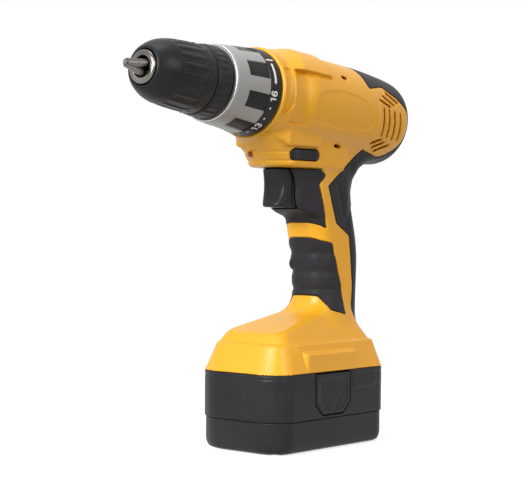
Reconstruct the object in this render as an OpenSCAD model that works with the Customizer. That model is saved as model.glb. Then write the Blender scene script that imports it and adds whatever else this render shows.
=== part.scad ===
// Cordless drill: a keyless chuck, a torque collar, a two stage planetary gearbox and a motor
// in a yellow clamshell, over a handle and a slide-out battery pack.
// Millimetres, +Z up, nose towards -X. The origin is the middle of the pack's underside.
// The head is drawn along its own X axis, which runs rearwards from the back of the
// torque collar, and is then tipped nose-up onto the handle.

/* [Battery pack] */
// Length of the pack, front to rear
pack_l = 110; // [106:1:116]
// Width of the pack
pack_w = 68; // [66:1:74]
// Height of the pack up to the seam under the foot
pack_h = 48.5; // [47:0.5:54]
// Radius of the pack's upright corners
pack_corner = 11; // [8:0.5:14]
// How far the front face bows forward
pack_bow = 4; // [2:0.5:6]
// Wall of the pack's two cases
pack_wall = 2.2; // [1.8:0.1:2.6]
// Height of the joint between the lower and the upper case
pack_joint_z = 20; // [17:0.5:21]
// How much narrower the lower case is, per side
pack_step = 0.8; // [0.4:0.1:1.2]
// Bevel round the pack's lower edge
pack_bevel = 3; // [1.5:0.5:4]
// Rows of cells across the pack
cell_rows = 3; // [2:1:3]
// Columns of cells along the pack
cell_columns = 5; // [3:1:5]
// Diameter of one cell
cell_d = 17; // [15:0.5:17]
// Height of one cell
cell_h = 42.4; // [36:0.2:42.4]
// Length of the stem that plugs into the handle
stem_l = 32; // [28:1:33]
// Width of the stem
stem_w = 25; // [22:0.5:26]
// How far the stem stands up out of the pack
stem_h = 43.5; // [36:0.5:44]

/* [Latches] */
// Width of a latch button
latch_w = 34; // [26:1:36]
// Height of a latch button
latch_h = 25; // [20:1:26]
// How far a latch button is pushed in
latch_travel = 2.4; // [1.5:0.1:2.4]

/* [Handle and foot] */
// Wall of the clamshell
wall = 2.8; // [2.4:0.1:3.2]
// Handle, front to rear
handle_l = 43; // [41:0.5:46]
// Handle, side to side
handle_w = 33; // [32:0.5:37]
// Roundness of the handle's section
handle_r = 12; // [9:0.5:14]
// Lean of the handle, top forward, in degrees
handle_lean = 6.2; // [5:0.2:7.4]
// Height of the foot's lower band
foot_band_h = 17.5; // [15:0.5:19]
// Height of the whole foot
foot_h = 39; // [37:0.5:41]
// Depth of the rubber overmould
rubber_t = 1.5; // [1:0.1:1.8]
// Length of the rubber cap over the rear end of the barrel
rubber_cap_l = 9; // [7:0.5:11]

/* [Head] */
// Nose-up tilt of the spindle, in degrees
tilt = 5; // [3:0.5:7]
// Height of the spindle at the back of the torque collar
head_z = 219; // [217:0.5:224]
// Radius of the barrel where it is fullest
barrel_r = 31; // [30.5:0.5:34]
// Length of the barrel, from the torque collar to the rear
barrel_l = 134.5; // [130:0.5:142]
// Radius of the barrel at its front rim
barrel_rim_r = 27.8; // [27.4:0.2:29]
// Half width of the trigger housing under the barrel
chin_half_w = 19; // [17:0.5:21]

/* [Trigger and selector] */
// Width of the trigger
trigger_w = 19; // [16:0.5:20]
// Height of the trigger
trigger_h = 24; // [20:0.5:24.5]
// How far the trigger reaches in front of the handle
trigger_reach = 25; // [22:0.5:27]
// How far the trigger is squeezed
trigger_travel = 5.6; // [3:0.1:5.6]
// How far the direction selector moves to each side
selector_travel = 2.5; // [1.5:0.1:3]
// Length of the direction selector
selector_l = 27; // [20:0.5:28]
// Height of the direction selector
selector_h = 7; // [5:0.5:7.5]

/* [Chuck] */
// Length of the chuck, nose to rear
chuck_l = 54.5; // [53:0.5:58]
// Radius of the steel nose
nose_r = 10; // [9:0.25:11]
// Radius of the grip sleeve
sleeve_r = 20.2; // [19.5:0.1:22]
// Radius of the rear chuck ring
chuck_ring_r = 21.8; // [21:0.1:22.4]
// Length of the rear chuck ring
chuck_ring_l = 12; // [10:0.5:14]
// Radius of the chuck's steel core
core_r = 16.4; // [15.5:0.1:16.8]
// Radius of a jaw
jaw_r = 2.75; // [2:0.05:3]
// Length of a jaw
jaw_l = 43; // [42:0.5:44]
// Angle between a jaw and the spindle, in degrees
jaw_lean = 14; // [12:0.5:14.5]
// How far the closed jaws stand out of the nose
jaw_reach = 11; // [10:0.5:12]
// How far a jaw slides as the chuck opens
jaw_travel = 20; // [10:1:20]

/* [Torque collar] */
// Length of the torque collar
collar_l = 36; // [32:0.5:38]
// Radius of the torque collar at its front rim
collar_front_r = 23.4; // [22.6:0.1:24.5]
// Radius of the torque collar at the housing
collar_rear_r = 27; // [26.4:0.1:27.4]
// Length of the black number band
collar_band_l = 9; // [7:0.5:11]
// Number of grip recesses
collar_recesses = 8; // [6:1:12]
// Depth of the grip recesses
collar_recess_t = 1.7; // [1:0.1:2]

/* [Gearbox and motor] */
// Outer radius of the gear case, which is also the collar's seat
case_r = 24; // [23.6:0.1:24.4]
// Tooth module of every gear
gear_module = 0.6; // [0.56:0.01:0.6]
// Teeth on each sun gear
sun_teeth = 12; // [12:3:12]
// Teeth on each planet gear
planet_teeth = 18; // [18:3:18]
// Face width of the planet gears
planet_face = 8.2; // [6:0.1:8.4]
// Radius of the spindle
spindle_r = 6; // [5:0.1:6]
// Radius of the motor can
motor_r = 18.3; // [17.5:0.1:19]
// Length of the motor can
motor_l = 58; // [52:0.5:60]
// Radius of the motor shaft
shaft_r = 1.6; // [1.4:0.05:1.8]
// Radius of the cooling fan
fan_r = 22; // [18:0.5:24]

/* [Fasteners and clearances] */
// Radius of the housing screws
screw_r = 1.5; // [1.25:0.05:1.7]
// Length of the housing screws
screw_l = 18; // [14:0.5:20]
// Clearance between parts that slide past each other
gap = 0.3; // [0.2:0.05:0.4]
// Radial clearance of a shaft in its bore
running = 0.06; // [0.03:0.01:0.09]

/* [Hidden] */
$fn = 64;
tiny = 0.01;
body_yellow = "#f2ad26";
black = "#2d2d30";
grey = "#9a9a97";
steel = "#b9b9b6";
brass_tone = "#c9a24a";
copper_tone = "#b8703a";

head_x = -pack_l / 2 + 10;
ring_teeth = sun_teeth + 2 * planet_teeth;
planet_orbit = gear_module * (sun_teeth + planet_teeth) / 2;
addendum = 0.8 * gear_module;
dedendum = gear_module;
ring_outer_r = case_r - 4.3;
carrier_r = gear_module * ring_teeth / 2 - addendum - 0.9;

// Places along the head's axis, counted rearwards from the back of the torque collar.
collar_a = -gap - 0.1;
collar_front_a = collar_a - collar_l;
chuck_rear_a = collar_front_a - 1.4;
nose_a = chuck_rear_a - chuck_l;
case_wall_a = -3.2;
case_wall_t = 3.4;
tube_front_a = collar_front_a + 2;
ring_front_a = case_wall_a + 0.2;
stage_l = planet_face + 4.8;
ring_rear_a = ring_front_a + stage_l + 0.4;
case_rear_a = ring_rear_a + stage_l + 1;
plate_t = 3;
motor_a = case_rear_a + plate_t + 0.2;
motor_rear_a = motor_a + motor_l;
end_cap_l = 6;
fan_a = motor_rear_a + end_cap_l + 5;
fan_l = 9;
housing_front_a = 0.5;
barrel_swell_l = 24;
rear_screw_a = barrel_l - 14;
rear_screw_drop = 5.7;
chin_nose_r = 13;
latch_arm_w = 20;

// Handle axis: the middle of its section at the height of the pack stem's top.
handle_base_x = pack_l / 2 - 24.8;
handle_base_z = pack_h + foot_h + 8;
handle_top_z = 186;
stem_x = handle_base_x;
stem_top_z = pack_h + stem_h;

trigger_top_z = 173.5;
chin_floor_z = trigger_top_z + 0.5;
handle_front_x = handle_x(trigger_top_z - trigger_h / 2) - handle_l / 2;
trigger_rear_x = handle_front_x + 1.6;
trigger_front_x = handle_front_x - trigger_reach;
switch_x = trigger_rear_x + trigger_travel + gap;
switch_l = 30;
switch_h = 23;
switch_w = 20;
selector_z = chin_floor_z + 8;
selector_x = handle_front_x - 0.5 - selector_l / 2;
latch_x = -2;
latch_t = 3.6;
latch_face = pack_w / 2 + 0.3;
pocket_wall_t = 0.9;
window_back = latch_face - latch_t - latch_travel - gap;
pocket_back = latch_face - latch_t - latch_travel - 1.3 - pocket_wall_t;
terminal_z = stem_top_z + 3;
terminal_h = 9;
terminal_l = stem_l - 2;
terminal_w = stem_w - 2;
terminal_x = stem_x - terminal_l / 2 - 0.6;
blade_w = 6;
blade_t = 0.8;
blade_pitch = 7;
blade_play = 0.03;

// x of the middle of the handle at a height
function handle_x(z) = handle_base_x - tan(handle_lean) * (z - handle_base_z);

// radius of the barrel at a distance behind its front rim
function barrel_at(a) =
    a < barrel_swell_l ? barrel_rim_r + (barrel_r - barrel_rim_r) * sin(90 * a / barrel_swell_l)
    : barrel_r - 5 * pow(max(a - 36, 0) / (barrel_l - 40.5), 4);

// distance of a jaw's middle line from the spindle, at a place along the head
function jaw_offset(a) = tan(jaw_lean) * (a - nose_a + jaw_reach);

// ---------- shared shapes ----------

// stands what is drawn along Z on the head's axis, from a place a rearwards
module on_axis(a = 0) translate([a, 0, 0]) rotate([0, 90, 0]) children();

// puts the head's parts onto the handle
module in_head() translate([head_x, 0, head_z]) rotate([0, tilt, 0]) children();

// a body of revolution on the head's axis, from points [radius, place]
module turned(points) rotate([0, 90, 0]) rotate_extrude() polygon(points);

// a ring on the head's axis
module ring(a, length, outer, inner) {
    on_axis(a) difference() {
        cylinder(r = outer, h = length);
        translate([0, 0, -1]) cylinder(r = inner, h = length + 2);
    }
}

// a rectangle with round corners
module rounded(l, w, r) {
    square([l - 2 * r, w], center = true);
    square([l, w - 2 * r], center = true);
    for (x = [-1, 1], y = [-1, 1]) translate([x * (l / 2 - r), y * (w / 2 - r)]) circle(r);
}

// the pack's outline, inset by t, with its bowed front
module pack_plan(t) {
    half = pack_w / 2;
    bow_r = (half * half + pack_bow * pack_bow) / (2 * pack_bow);
    intersection() {
        rounded(pack_l - 2 * t, pack_w - 2 * t, pack_corner - t);
        translate([bow_r - pack_l / 2, 0]) circle(bow_r - t, $fn = 180);
    }
}

// extrudes an outline of [x, z] points across the tool, half a width to each side
module across(half) rotate([90, 0, 0]) linear_extrude(2 * half, center = true) children();

// a solid round bar between two points
module bar(a, b, r) {
    d = b - a;
    translate(a) rotate([0, acos(d.z / norm(d)), atan2(d.y, d.x)]) cylinder(r = r, h = norm(d));
}

// a wire through a list of points, a little fuller at each bend
module wire(points, r) {
    bend_r = r + 0.15;
    for (i = [1:len(points) - 1]) bar(points[i - 1], points[i], r);
    for (i = [1:len(points) - 2]) translate(points[i]) sphere(bend_r);
}

// a helical spring that stands on Z
module coil(coil_r, wire_r, height, turns) {
    steps = 14;
    sides = 6;
    count = steps * turns;
    pitch = (height - 2 * wire_r) / turns;
    points = [for (i = [0:count], k = [0:sides - 1])
        let (t = 360 * i / steps, s = 360 * k / sides, r = coil_r + wire_r * cos(s))
        [r * cos(t), r * sin(t), wire_r + pitch * i / steps + wire_r * sin(s)]];
    faces = [for (i = [0:count - 1], k = [0:sides - 1])
        let (n = (k + 1) % sides)
        [i * sides + k, (i + 1) * sides + k, (i + 1) * sides + n, i * sides + n]];
    start = [for (k = [0:sides - 1]) k];
    end = [for (k = [sides - 1:-1:0]) count * sides + k];
    polyhedron(points, concat(faces, [start], [end]), convexity = 8);
}

// one gear tooth, slimmer than half its pitch so that it runs with play
module tooth(root_r, tip_r) {
    root = 0.55 * gear_module;
    tip = 0.24 * gear_module;
    if (tip_r > root_r) polygon([[root_r, -root], [tip_r, -tip], [tip_r, tip], [root_r, root]]);
    else polygon([[tip_r, -tip], [root_r, -root], [root_r, root], [tip_r, tip]]);
}

// outline of an outside gear whose first tooth stands at the angle given
module gear_plan(teeth, first = 0) {
    pitch_r = gear_module * teeth / 2;
    root_r = pitch_r - dedendum;
    circle(root_r);
    for (i = [0:teeth - 1]) rotate(first + 360 * i / teeth)
        tooth(root_r - 0.1, pitch_r + addendum);
}

// a ring gear with inside teeth and a gap between two of them at angle 0
module ring_gear(length) {
    pitch_r = gear_module * ring_teeth / 2;
    linear_extrude(length) {
        difference() {
            circle(ring_outer_r);
            circle(pitch_r + dedendum);
        }
        for (i = [0:ring_teeth - 1]) rotate((i + 0.5) * 360 / ring_teeth)
            tooth(pitch_r + dedendum + 0.4, pitch_r - addendum);
    }
}

// a planet gear in place: its number sets the angle round the sun
module planet(a, number) {
    angle = 120 * (number - 1);
    color(steel) in_head() on_axis(a) rotate(angle) translate([planet_orbit, 0, 0])
        linear_extrude(planet_face) difference() {
            gear_plan(planet_teeth);
            circle(1.8 + running);
        }
}

// three planet pins
module planet_pins(length) {
    for (i = [0:2]) rotate(120 * i) translate([planet_orbit, 0, 0])
        cylinder(r = 1.8, h = length);
}

// ---------- the clamshell ----------

barrel_points = [for (i = [0:16]) let (a = i * (barrel_l - 4.5) / 16) [barrel_at(a), a]];

module barrel(t) {
    last = barrel_points[16];
    points = concat(
        [[0, housing_front_a + t], [barrel_rim_r - t, housing_front_a + t]],
        [for (i = [1:16]) [barrel_points[i][0] - t, barrel_points[i][1]]],
        [[last[0] - 4 - t, barrel_l - 1.4 - t], [0, barrel_l - t]]);
    in_head() turned(points);
}

// the trigger housing under the front of the barrel
module chin(t) {
    front = head_x + 1.5 + 1.2 * t;
    intersection() {
        across(chin_half_w - t) polygon([[front, head_z - 10], [front, head_z - 28],
            [front + 12.5, chin_floor_z + t], [handle_base_x, chin_floor_z + t],
            [handle_base_x, head_z - 10]]);
        translate([front, 0, chin_floor_z - 1]) linear_extrude(60)
            translate([40, 0]) rounded(80, 2 * (chin_half_w - t), chin_nose_r - t);
    }
}

// the web behind the top of the handle
module web(t) {
    rear = handle_x(160) + handle_l / 2;
    across(14 - t) polygon([[rear - 12, 158], [rear - t, 158], [rear + 7 - t, 172 + t * 0.6],
        [rear + 24 - 2 * t, 183 + t * 0.4], [rear + 24 - 2 * t, 200], [rear - 12, 200]]);
}

module handle(t) {
    low = -16;
    translate([handle_base_x, 0, handle_base_z]) rotate([0, -handle_lean, 0])
        translate([0, 0, low])
        linear_extrude((handle_top_z - handle_base_z) - low)
        rounded(handle_l - 2 * t, handle_w - 2 * t, handle_r - t);
}

module foot(t) {
    neck = handle_x(pack_h + foot_h);
    band = pack_h + foot_band_h;
    top = pack_h + foot_h;
    front = -pack_l / 2;
    half = pack_w / 2 - t;
    waist = half - 5.5;
    shoulder = handle_w / 2 - t;
    intersection() {
        translate([0, 0, pack_h - 1]) linear_extrude(foot_h + 2) pack_plan(t);
        across(pack_w) polygon([[front, pack_h], [front + t, pack_h], [front + 6 + t, band],
            [front + 11 + t, band + 3 - t], [neck - handle_l / 2 - 5, top - 5 - t],
            [neck - handle_l / 2 + t, top - t], [neck + handle_l / 2 - t, top - t],
            [-front - 3.5 - t, band], [-front - t, pack_h]]);
        translate([-pack_l, 0, 0]) rotate([90, 0, 90]) linear_extrude(2 * pack_l)
            polygon([[-half, pack_h], [-waist, band], [-shoulder, top - 2], [shoulder, top - 2],
                [waist, band], [half, pack_h]]);
    }
    // upright swelling over each battery latch
    intersection() {
        translate([0, 0, pack_h]) linear_extrude(foot_band_h - 5) pack_plan(t);
        translate([latch_x, 0, pack_h + 5])
            cube([latch_w + 16 - 2 * t, pack_w + 2, 30], center = true);
    }
}

// the whole outside of the clamshell, inset by t
module shell(t) {
    barrel(t);
    chin(t);
    web(t);
    handle(t);
    foot(t);
}

// a place on the head's middle plane, a rearwards and v upwards, as [x, z]
function head_point(a, v) = [
    head_x + a * cos(tilt) + v * sin(tilt),
    head_z - a * sin(tilt) + v * cos(tilt)
];

// screws of the clamshell
head_r = screw_r * 2;
boss_r = head_r + gap + 1.2;
boss_reach = barrel_r - wall - boss_r + 0.8;
screw_places = [
    head_point(12, -case_r - boss_r - 1),
    head_point(motor_a + 19, boss_reach),
    head_point(rear_screw_a, boss_reach - rear_screw_drop),
    head_point(rear_screw_a, rear_screw_drop - boss_reach),
    [handle_x(128) + handle_l / 2 - wall - boss_r + 0.6, 128],
    [handle_x(114) - handle_l / 2 + wall + boss_r - 0.6, 114],
    [-pack_l / 2 + 20, pack_h + 9],
    [-pack_l / 2 + 46, pack_h + 17]
];
head_t = 2.4;
head_y = 10;
screw_tip_y = head_y - screw_l;

// vent slots round the fan: four upright ones between three above and three below
module vents() {
    slot_t = 1.8;
    upright_pitch = 6.6;
    first_a = fan_a - 2;
    in_head() {
        for (i = [0:3]) translate([fan_a + 3 + upright_pitch * i, -50, -14]) rotate([0, -8, 0])
            cube([slot_t, 100, 18]);
        for (i = [0:2]) translate([first_a + 5 * i, -50, 9 + 3 * i]) rotate([0, 14 + 5 * i, 0])
            cube([12, 100, slot_t]);
        for (i = [0:2]) translate([first_a + 4.3 * i, -50, -19.4 - 1.6 * i]) rotate([0, -24, 0])
            cube([9.5 + 1.3 * i, 100, slot_t - 0.2]);
    }
}

// what the trigger and the direction selector need cut out of the shell
module control_openings() {
    low = trigger_top_z - trigger_h - gap;
    translate([handle_front_x - 9, -trigger_w / 2 - gap, low])
        cube([16, trigger_w + 2 * gap, chin_floor_z + tiny - low]);
    translate([selector_x, 0, selector_z]) rotate([90, 0, 0])
        linear_extrude(80, center = true)
        rounded(selector_l + 2 * gap, selector_h + 2 * gap, selector_h / 2 + gap - tiny);
}

// side view outlines of the rubber, as [x, z]
upper_grip = [[-20, chin_floor_z + 4], [handle_x(170) - 12, chin_floor_z - 4],
    [handle_x(164) - 19, 164], [handle_x(136) - 13, 136], [handle_x(141) - 40, 141]];
lower_grip = [[-20, 132.4], [handle_x(132) - 12, 131.8], [handle_x(127) - 9, 127.4],
    [handle_x(104) - 3, 104], [handle_x(92) + 2, 91], [handle_x(94) - 20, 94], [-20, 94.5]];
rear_grip = [[60, 91], [60, 176], [handle_x(176) + 10, 176], [handle_x(165) - 8, 165],
    [handle_x(140) - 4, 140], [handle_x(132) + 7, 132], [handle_x(91) + 9, 91]];

// the layer that the rubber fills on the handle
module rubber_layer(depth) {
    difference() {
        handle(0);
        handle(depth);
        translate([-200, -100, pack_h + foot_h + 3]) mirror([0, 0, 1]) cube([400, 200, 200]);
        barrel(0.01);
        chin(0.01);
    }
}

module grip_rubber(depth) {
    intersection() {
        rubber_layer(depth);
        union() {
            across(pack_w) polygon(upper_grip);
            across(pack_w) polygon(lower_grip);
        }
    }
}

module handle_back_rubber(depth) {
    intersection() {
        rubber_layer(depth);
        difference() {
            across(pack_w) polygon(rear_grip);
            web(0);
        }
    }
}

// the rubber cap over the rear end of the barrel
module barrel_back_rubber(depth) {
    intersection() {
        barrel(0);
        barrel_back_recess(depth);
    }
}

module barrel_back_recess(depth) {
    difference() {
        in_head() on_axis(barrel_l - rubber_cap_l) cylinder(r = barrel_r + 6, h = rubber_cap_l + 6);
        barrel(depth);
    }
}

// everything inside one half of the shell that stiffens it and holds the works
module ribs() {
    intersection() {
        shell(0.7 * wall);
        union() {
            in_head() for (a = [case_rear_a - 20, case_rear_a - 3]) ring(a, 2, barrel_r, case_r + tiny);
            in_head() for (a = [motor_a + 10, motor_rear_a - 10]) ring(a, 2, barrel_r, motor_r + tiny);
            translate([terminal_x - 1.6, -handle_w / 2, terminal_z + terminal_h])
                cube([2, handle_w, 2]);
            translate([terminal_x + terminal_l - 0.4, -handle_w / 2, terminal_z + terminal_h])
                cube([2, handle_w, 2]);
        }
    }
}

// wells that the screw heads lie in, from the right side
module screw_recesses() {
    for (p = screw_places) translate([p[0], head_y, p[1]]) rotate([-90, 0, 0])
        cylinder(r = head_r + gap, h = 60);
}

// one half of the clamshell: side is -1 for the left, 1 for the right
module half_housing(side) {
    color(body_yellow) difference() {
        union() {
            difference() {
                shell(0);
                shell(wall);
                translate([0, 0, pack_h - 50]) linear_extrude(50 + tiny)
                    square(2 * pack_l, center = true);
                translate([0, 0, pack_h - tiny]) linear_extrude(wall) pack_plan(wall);
            }
            ribs();
            intersection() {
                shell(0.7 * wall);
                for (p = screw_places) translate([p[0], 0, p[1]]) rotate([90, 0, 0])
                    cylinder(r = boss_r, h = 2 * barrel_r, center = true);
            }
        }
        // the other half
        translate([-300, side < 0 ? -tiny : tiny - 200, -10]) cube([600, 200, 400]);
        // seat of the gear case and the motor
        in_head() on_axis(-50) cylinder(r = case_r + tiny, h = 50 + motor_a);
        in_head() on_axis(0) cylinder(r = motor_r + tiny, h = fan_a - 1);
        in_head() on_axis(motor_rear_a - 8)
            cylinder(r = barrel_r - wall - 4, h = barrel_l - motor_rear_a);
        control_openings();
        vents();
        grip_rubber(rubber_t);
        handle_back_rubber(rubber_t);
        barrel_back_recess(rubber_t);
        for (p = screw_places) translate([p[0], 0, p[1]]) rotate([-90, 0, 0]) {
            if (side < 0) mirror([0, 0, 1]) cylinder(r = screw_r + running, h = gap - screw_tip_y);
            if (side > 0) cylinder(r = screw_r + gap, h = head_y + 1);
        }
        if (side > 0) screw_recesses();
    }
}

module left_housing() half_housing(-1);

module right_housing() half_housing(1);

// keeps one side of a piece that both halves share
module one_side(side) {
    intersection() {
        translate([-300, side < 0 ? -200 : 0, -10]) cube([600, 200, 400]);
        children();
    }
}

module left_grip() color(black) one_side(-1) difference() {
    grip_rubber(rubber_t - tiny);
    control_openings();
}

module right_grip() color(black) one_side(1) difference() {
    grip_rubber(rubber_t - tiny);
    control_openings();
    screw_recesses();
}

module left_back_rubber() color(black) one_side(-1) {
    handle_back_rubber(rubber_t - tiny);
    barrel_back_rubber(rubber_t - tiny);
}

module right_back_rubber() color(black) one_side(1) difference() {
    union() {
        handle_back_rubber(rubber_t - tiny);
        barrel_back_rubber(rubber_t - tiny);
    }
    screw_recesses();
}

module housing_screws() {
    color(steel) for (p = screw_places) translate([p[0], head_y, p[1]]) rotate([90, 0, 0]) {
        cylinder(r = screw_r, h = screw_l);
        difference() {
            translate([0, 0, -head_t]) cylinder(r = head_r, h = head_t);
            translate([0, 0, -head_t - 1]) linear_extrude(2.2) {
                square([3.2, 0.8], center = true);
                square([0.8, 3.2], center = true);
            }
        }
    }
}

// ---------- gearbox ----------

ball_r = 2;
ball_orbit = case_r - 7.2;
ball_a = ring_front_a - ball_r - 0.05;
clutch_plate_a = ball_a - ball_r - 1.6;
tube_r = 14;
bearing_r = 12;
bearing_l = 6;
nut_l = 5;
nut_a = tube_front_a + 3;
nut_travel = 2;
collar_bore_r = case_r + running;
collar_front_bore_r = case_r - 3.9;
case_screw_orbit = case_r - 2.1;

module gear_case() {
    color(grey) in_head() difference() {
        turned([[spindle_r + 0.5, tube_front_a], [tube_r, tube_front_a],
            [tube_r, case_wall_a - case_wall_t], [case_r, case_wall_a - case_wall_t],
            [case_r, case_rear_a], [ring_outer_r + 0.1, case_rear_a],
            [ring_outer_r + 0.1, case_wall_a], [spindle_r + running, case_wall_a],
            [spindle_r + running, -12], [spindle_r + 0.5, -12]]);
        on_axis(tube_front_a - 1) cylinder(r = bearing_r + 0.02, h = bearing_l + 1.2);
        for (i = [0:5]) on_axis(case_wall_a - 5) rotate(60 * i) translate([ball_orbit, 0, 0])
            cylinder(r = ball_r + running, h = 6);
        for (i = [0:3]) on_axis(case_rear_a - 12) rotate(45 + 90 * i)
            translate([case_screw_orbit, 0, 0]) cylinder(r = 1.25 + running, h = 13);
    }
}

module clutch_balls() {
    color(steel) in_head() for (i = [0:5]) on_axis(ball_a) rotate(60 * i)
        translate([ball_orbit, 0, 0]) sphere(ball_r);
}

module clutch_plate() {
    color(steel) in_head() ring(clutch_plate_a, 1.5, ball_orbit + 3, tube_r + 0.15);
}

module clutch_spring() {
    length = clutch_plate_a - nut_a - nut_l - 0.2;
    color(steel) in_head() on_axis(nut_a + nut_l + 0.1) coil(ball_orbit + 0.2, 0.9, length, 4);
}

module clutch_nut() {
    color(steel) in_head() on_axis(nut_a) difference() {
        union() {
            cylinder(r = collar_front_bore_r - gap, h = nut_l);
            for (i = [0:2]) rotate(120 * i) translate([0, -2.2, 0])
                cube([collar_front_bore_r + 1, 4.4, nut_l]);
        }
        translate([0, 0, -1]) cylinder(r = tube_r + running, h = nut_l + 2);
    }
}

module ring_gear_front() {
    color(steel) in_head() on_axis(ring_front_a) ring_gear(stage_l);
}

module ring_gear_rear() {
    color(steel) in_head() on_axis(ring_rear_a) ring_gear(stage_l - 1.4);
}

front_planet_a = ring_front_a + 4.4;
rear_planet_a = ring_rear_a + 2.9;
rear_carrier_a = ring_rear_a + 0.2;

module front_carrier() {
    color(steel) in_head() on_axis(ring_front_a + 0.6) {
        difference() {
            cylinder(r = carrier_r, h = 3.4);
            translate([0, 0, -1]) cylinder(r = spindle_r + tiny, h = 3.6);
        }
        translate([0, 0, 3.3]) planet_pins(planet_face + 0.4);
    }
}

module rear_carrier() {
    color(steel) in_head() {
        on_axis(rear_carrier_a) difference() {
            cylinder(r = carrier_r, h = 2.3);
            translate([0, 0, -1]) cylinder(r = 1.2, h = 4);
        }
        on_axis(rear_carrier_a + 2.2) planet_pins(planet_face + 0.5);
        on_axis(front_planet_a) linear_extrude(rear_carrier_a - front_planet_a + 0.1) difference() {
            gear_plan(sun_teeth, 180 / sun_teeth);
            circle(1.2);
        }
    }
}

module front_planet_1() planet(front_planet_a, 1);
module front_planet_2() planet(front_planet_a, 2);
module front_planet_3() planet(front_planet_a, 3);
module rear_planet_1() planet(rear_planet_a, 1);
module rear_planet_2() planet(rear_planet_a, 2);
module rear_planet_3() planet(rear_planet_a, 3);

module spindle_bearing() {
    outer_race = bearing_r - 1.9;
    inner_race = spindle_r + 1.9;
    mid = (outer_race + inner_race) / 2;
    color(steel) in_head() {
        ring(tube_front_a, bearing_l, bearing_r, outer_race);
        ring(tube_front_a, bearing_l, inner_race, spindle_r + running);
        for (i = [0:9]) on_axis(tube_front_a + bearing_l / 2) rotate(36 * i)
            translate([mid, 0, 0]) sphere((outer_race - inner_race) / 2 - 0.05);
    }
}

// ---------- motor ----------

magnet_t = 3.4;
can_t = 1.2;
armature_r = motor_r - can_t - magnet_t - 0.7;
armature_a = motor_a + 10;
armature_l = motor_l - 28;
commutator_r = 4.6;
commutator_a = armature_a + armature_l + 6;
commutator_l = 10;

module motor_plate() {
    color(steel) in_head() on_axis(case_rear_a) difference() {
        cylinder(r = case_r, h = plate_t);
        translate([0, 0, -1]) cylinder(r = 6.6, h = plate_t + 2);
        for (i = [0:3]) rotate(45 + 90 * i) translate([case_screw_orbit, 0, -1])
            cylinder(r = 1.25 + running, h = plate_t + 2);
        for (s = [-1, 1]) translate([0, 12 * s, -1])
            cylinder(r = 1.5 + running, h = plate_t + 2);
    }
}

module gearbox_screws() {
    color(steel) in_head() for (i = [0:3]) on_axis(case_rear_a - 10) rotate(45 + 90 * i)
        translate([case_screw_orbit, 0, 0]) {
            cylinder(r = 1.25, h = 10 + plate_t);
            translate([0, 0, 10 + plate_t]) cylinder(r = 2.3, h = 1.8);
        }
    color(steel) in_head() for (s = [-1, 1]) on_axis(case_rear_a - 1.5) translate([0, 12 * s, 0]) {
        cylinder(r = 2.6, h = 1.5);
        translate([0, 0, 1.4]) cylinder(r = 1.5, h = plate_t + 2.2);
    }
}

module motor_can() {
    color(grey) in_head() difference() {
        union() {
            turned([[0, motor_a], [motor_r, motor_a], [motor_r, motor_rear_a],
                [motor_r - can_t, motor_rear_a], [motor_r - can_t, motor_a + 1.6], [0, motor_a + 1.6]]);
            on_axis(motor_a - 2.6) cylinder(r = 6.5, h = 7);
        }
        on_axis(motor_a - 5) cylinder(r = shaft_r + running, h = 12);
        for (s = [-1, 1]) on_axis(motor_a - 1) translate([0, 12 * s, 0])
            cylinder(r = 1.5 + running, h = 3);
        for (i = [0:3]) on_axis(motor_a - 1) rotate(45 + 90 * i) translate([12, 0, 0])
            cylinder(r = 2, h = 3);
    }
}

module motor_magnets() {
    color("#55504c") in_head() on_axis(armature_a) difference() {
        cylinder(r = motor_r - can_t - 0.05, h = armature_l);
        translate([0, 0, -1]) cylinder(r = motor_r - can_t - magnet_t, h = armature_l + 2);
        translate([0, 0, armature_l / 2]) cube([9, 50, armature_l + 2], center = true);
    }
}

module armature() {
    poles = 5;
    color(copper_tone) in_head() {
        on_axis(rear_planet_a) cylinder(r = shaft_r, h = fan_a + fan_l - rear_planet_a);
        on_axis(armature_a) difference() {
            cylinder(r = armature_r, h = armature_l);
            for (i = [0:poles - 1]) rotate(360 * i / poles) translate([armature_r - 2, -1, -1])
                cube([4, 2, armature_l + 2]);
        }
        on_axis(armature_a - 4) cylinder(r = armature_r - 2.2, h = armature_l + 8);
    }
}

module commutator() {
    color(copper_tone) in_head() on_axis(commutator_a) difference() {
        cylinder(r = commutator_r, h = commutator_l);
        translate([0, 0, -1]) cylinder(r = shaft_r + tiny, h = commutator_l + 2);
        for (i = [0:4]) rotate(72 * i) translate([commutator_r - 0.5, -0.25, -1])
            cube([2, 0.5, commutator_l + 2]);
    }
}

module pinion() {
    color(brass_tone) in_head() on_axis(rear_planet_a) linear_extrude(planet_face) difference() {
        gear_plan(sun_teeth, 180 / sun_teeth);
        circle(shaft_r + tiny);
    }
}

module cooling_fan() {
    blades = 9;
    color(black) in_head() on_axis(fan_a) difference() {
        union() {
            cylinder(r = 5, h = fan_l);
            cylinder(r = fan_r, h = 1.2);
            for (i = [0:blades - 1]) rotate(360 * i / blades) translate([4, -0.6, 0])
                cube([fan_r - 4.5, 1.2, fan_l]);
        }
        translate([0, 0, -1]) cylinder(r = shaft_r + tiny, h = fan_l + 2);
    }
}

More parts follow.
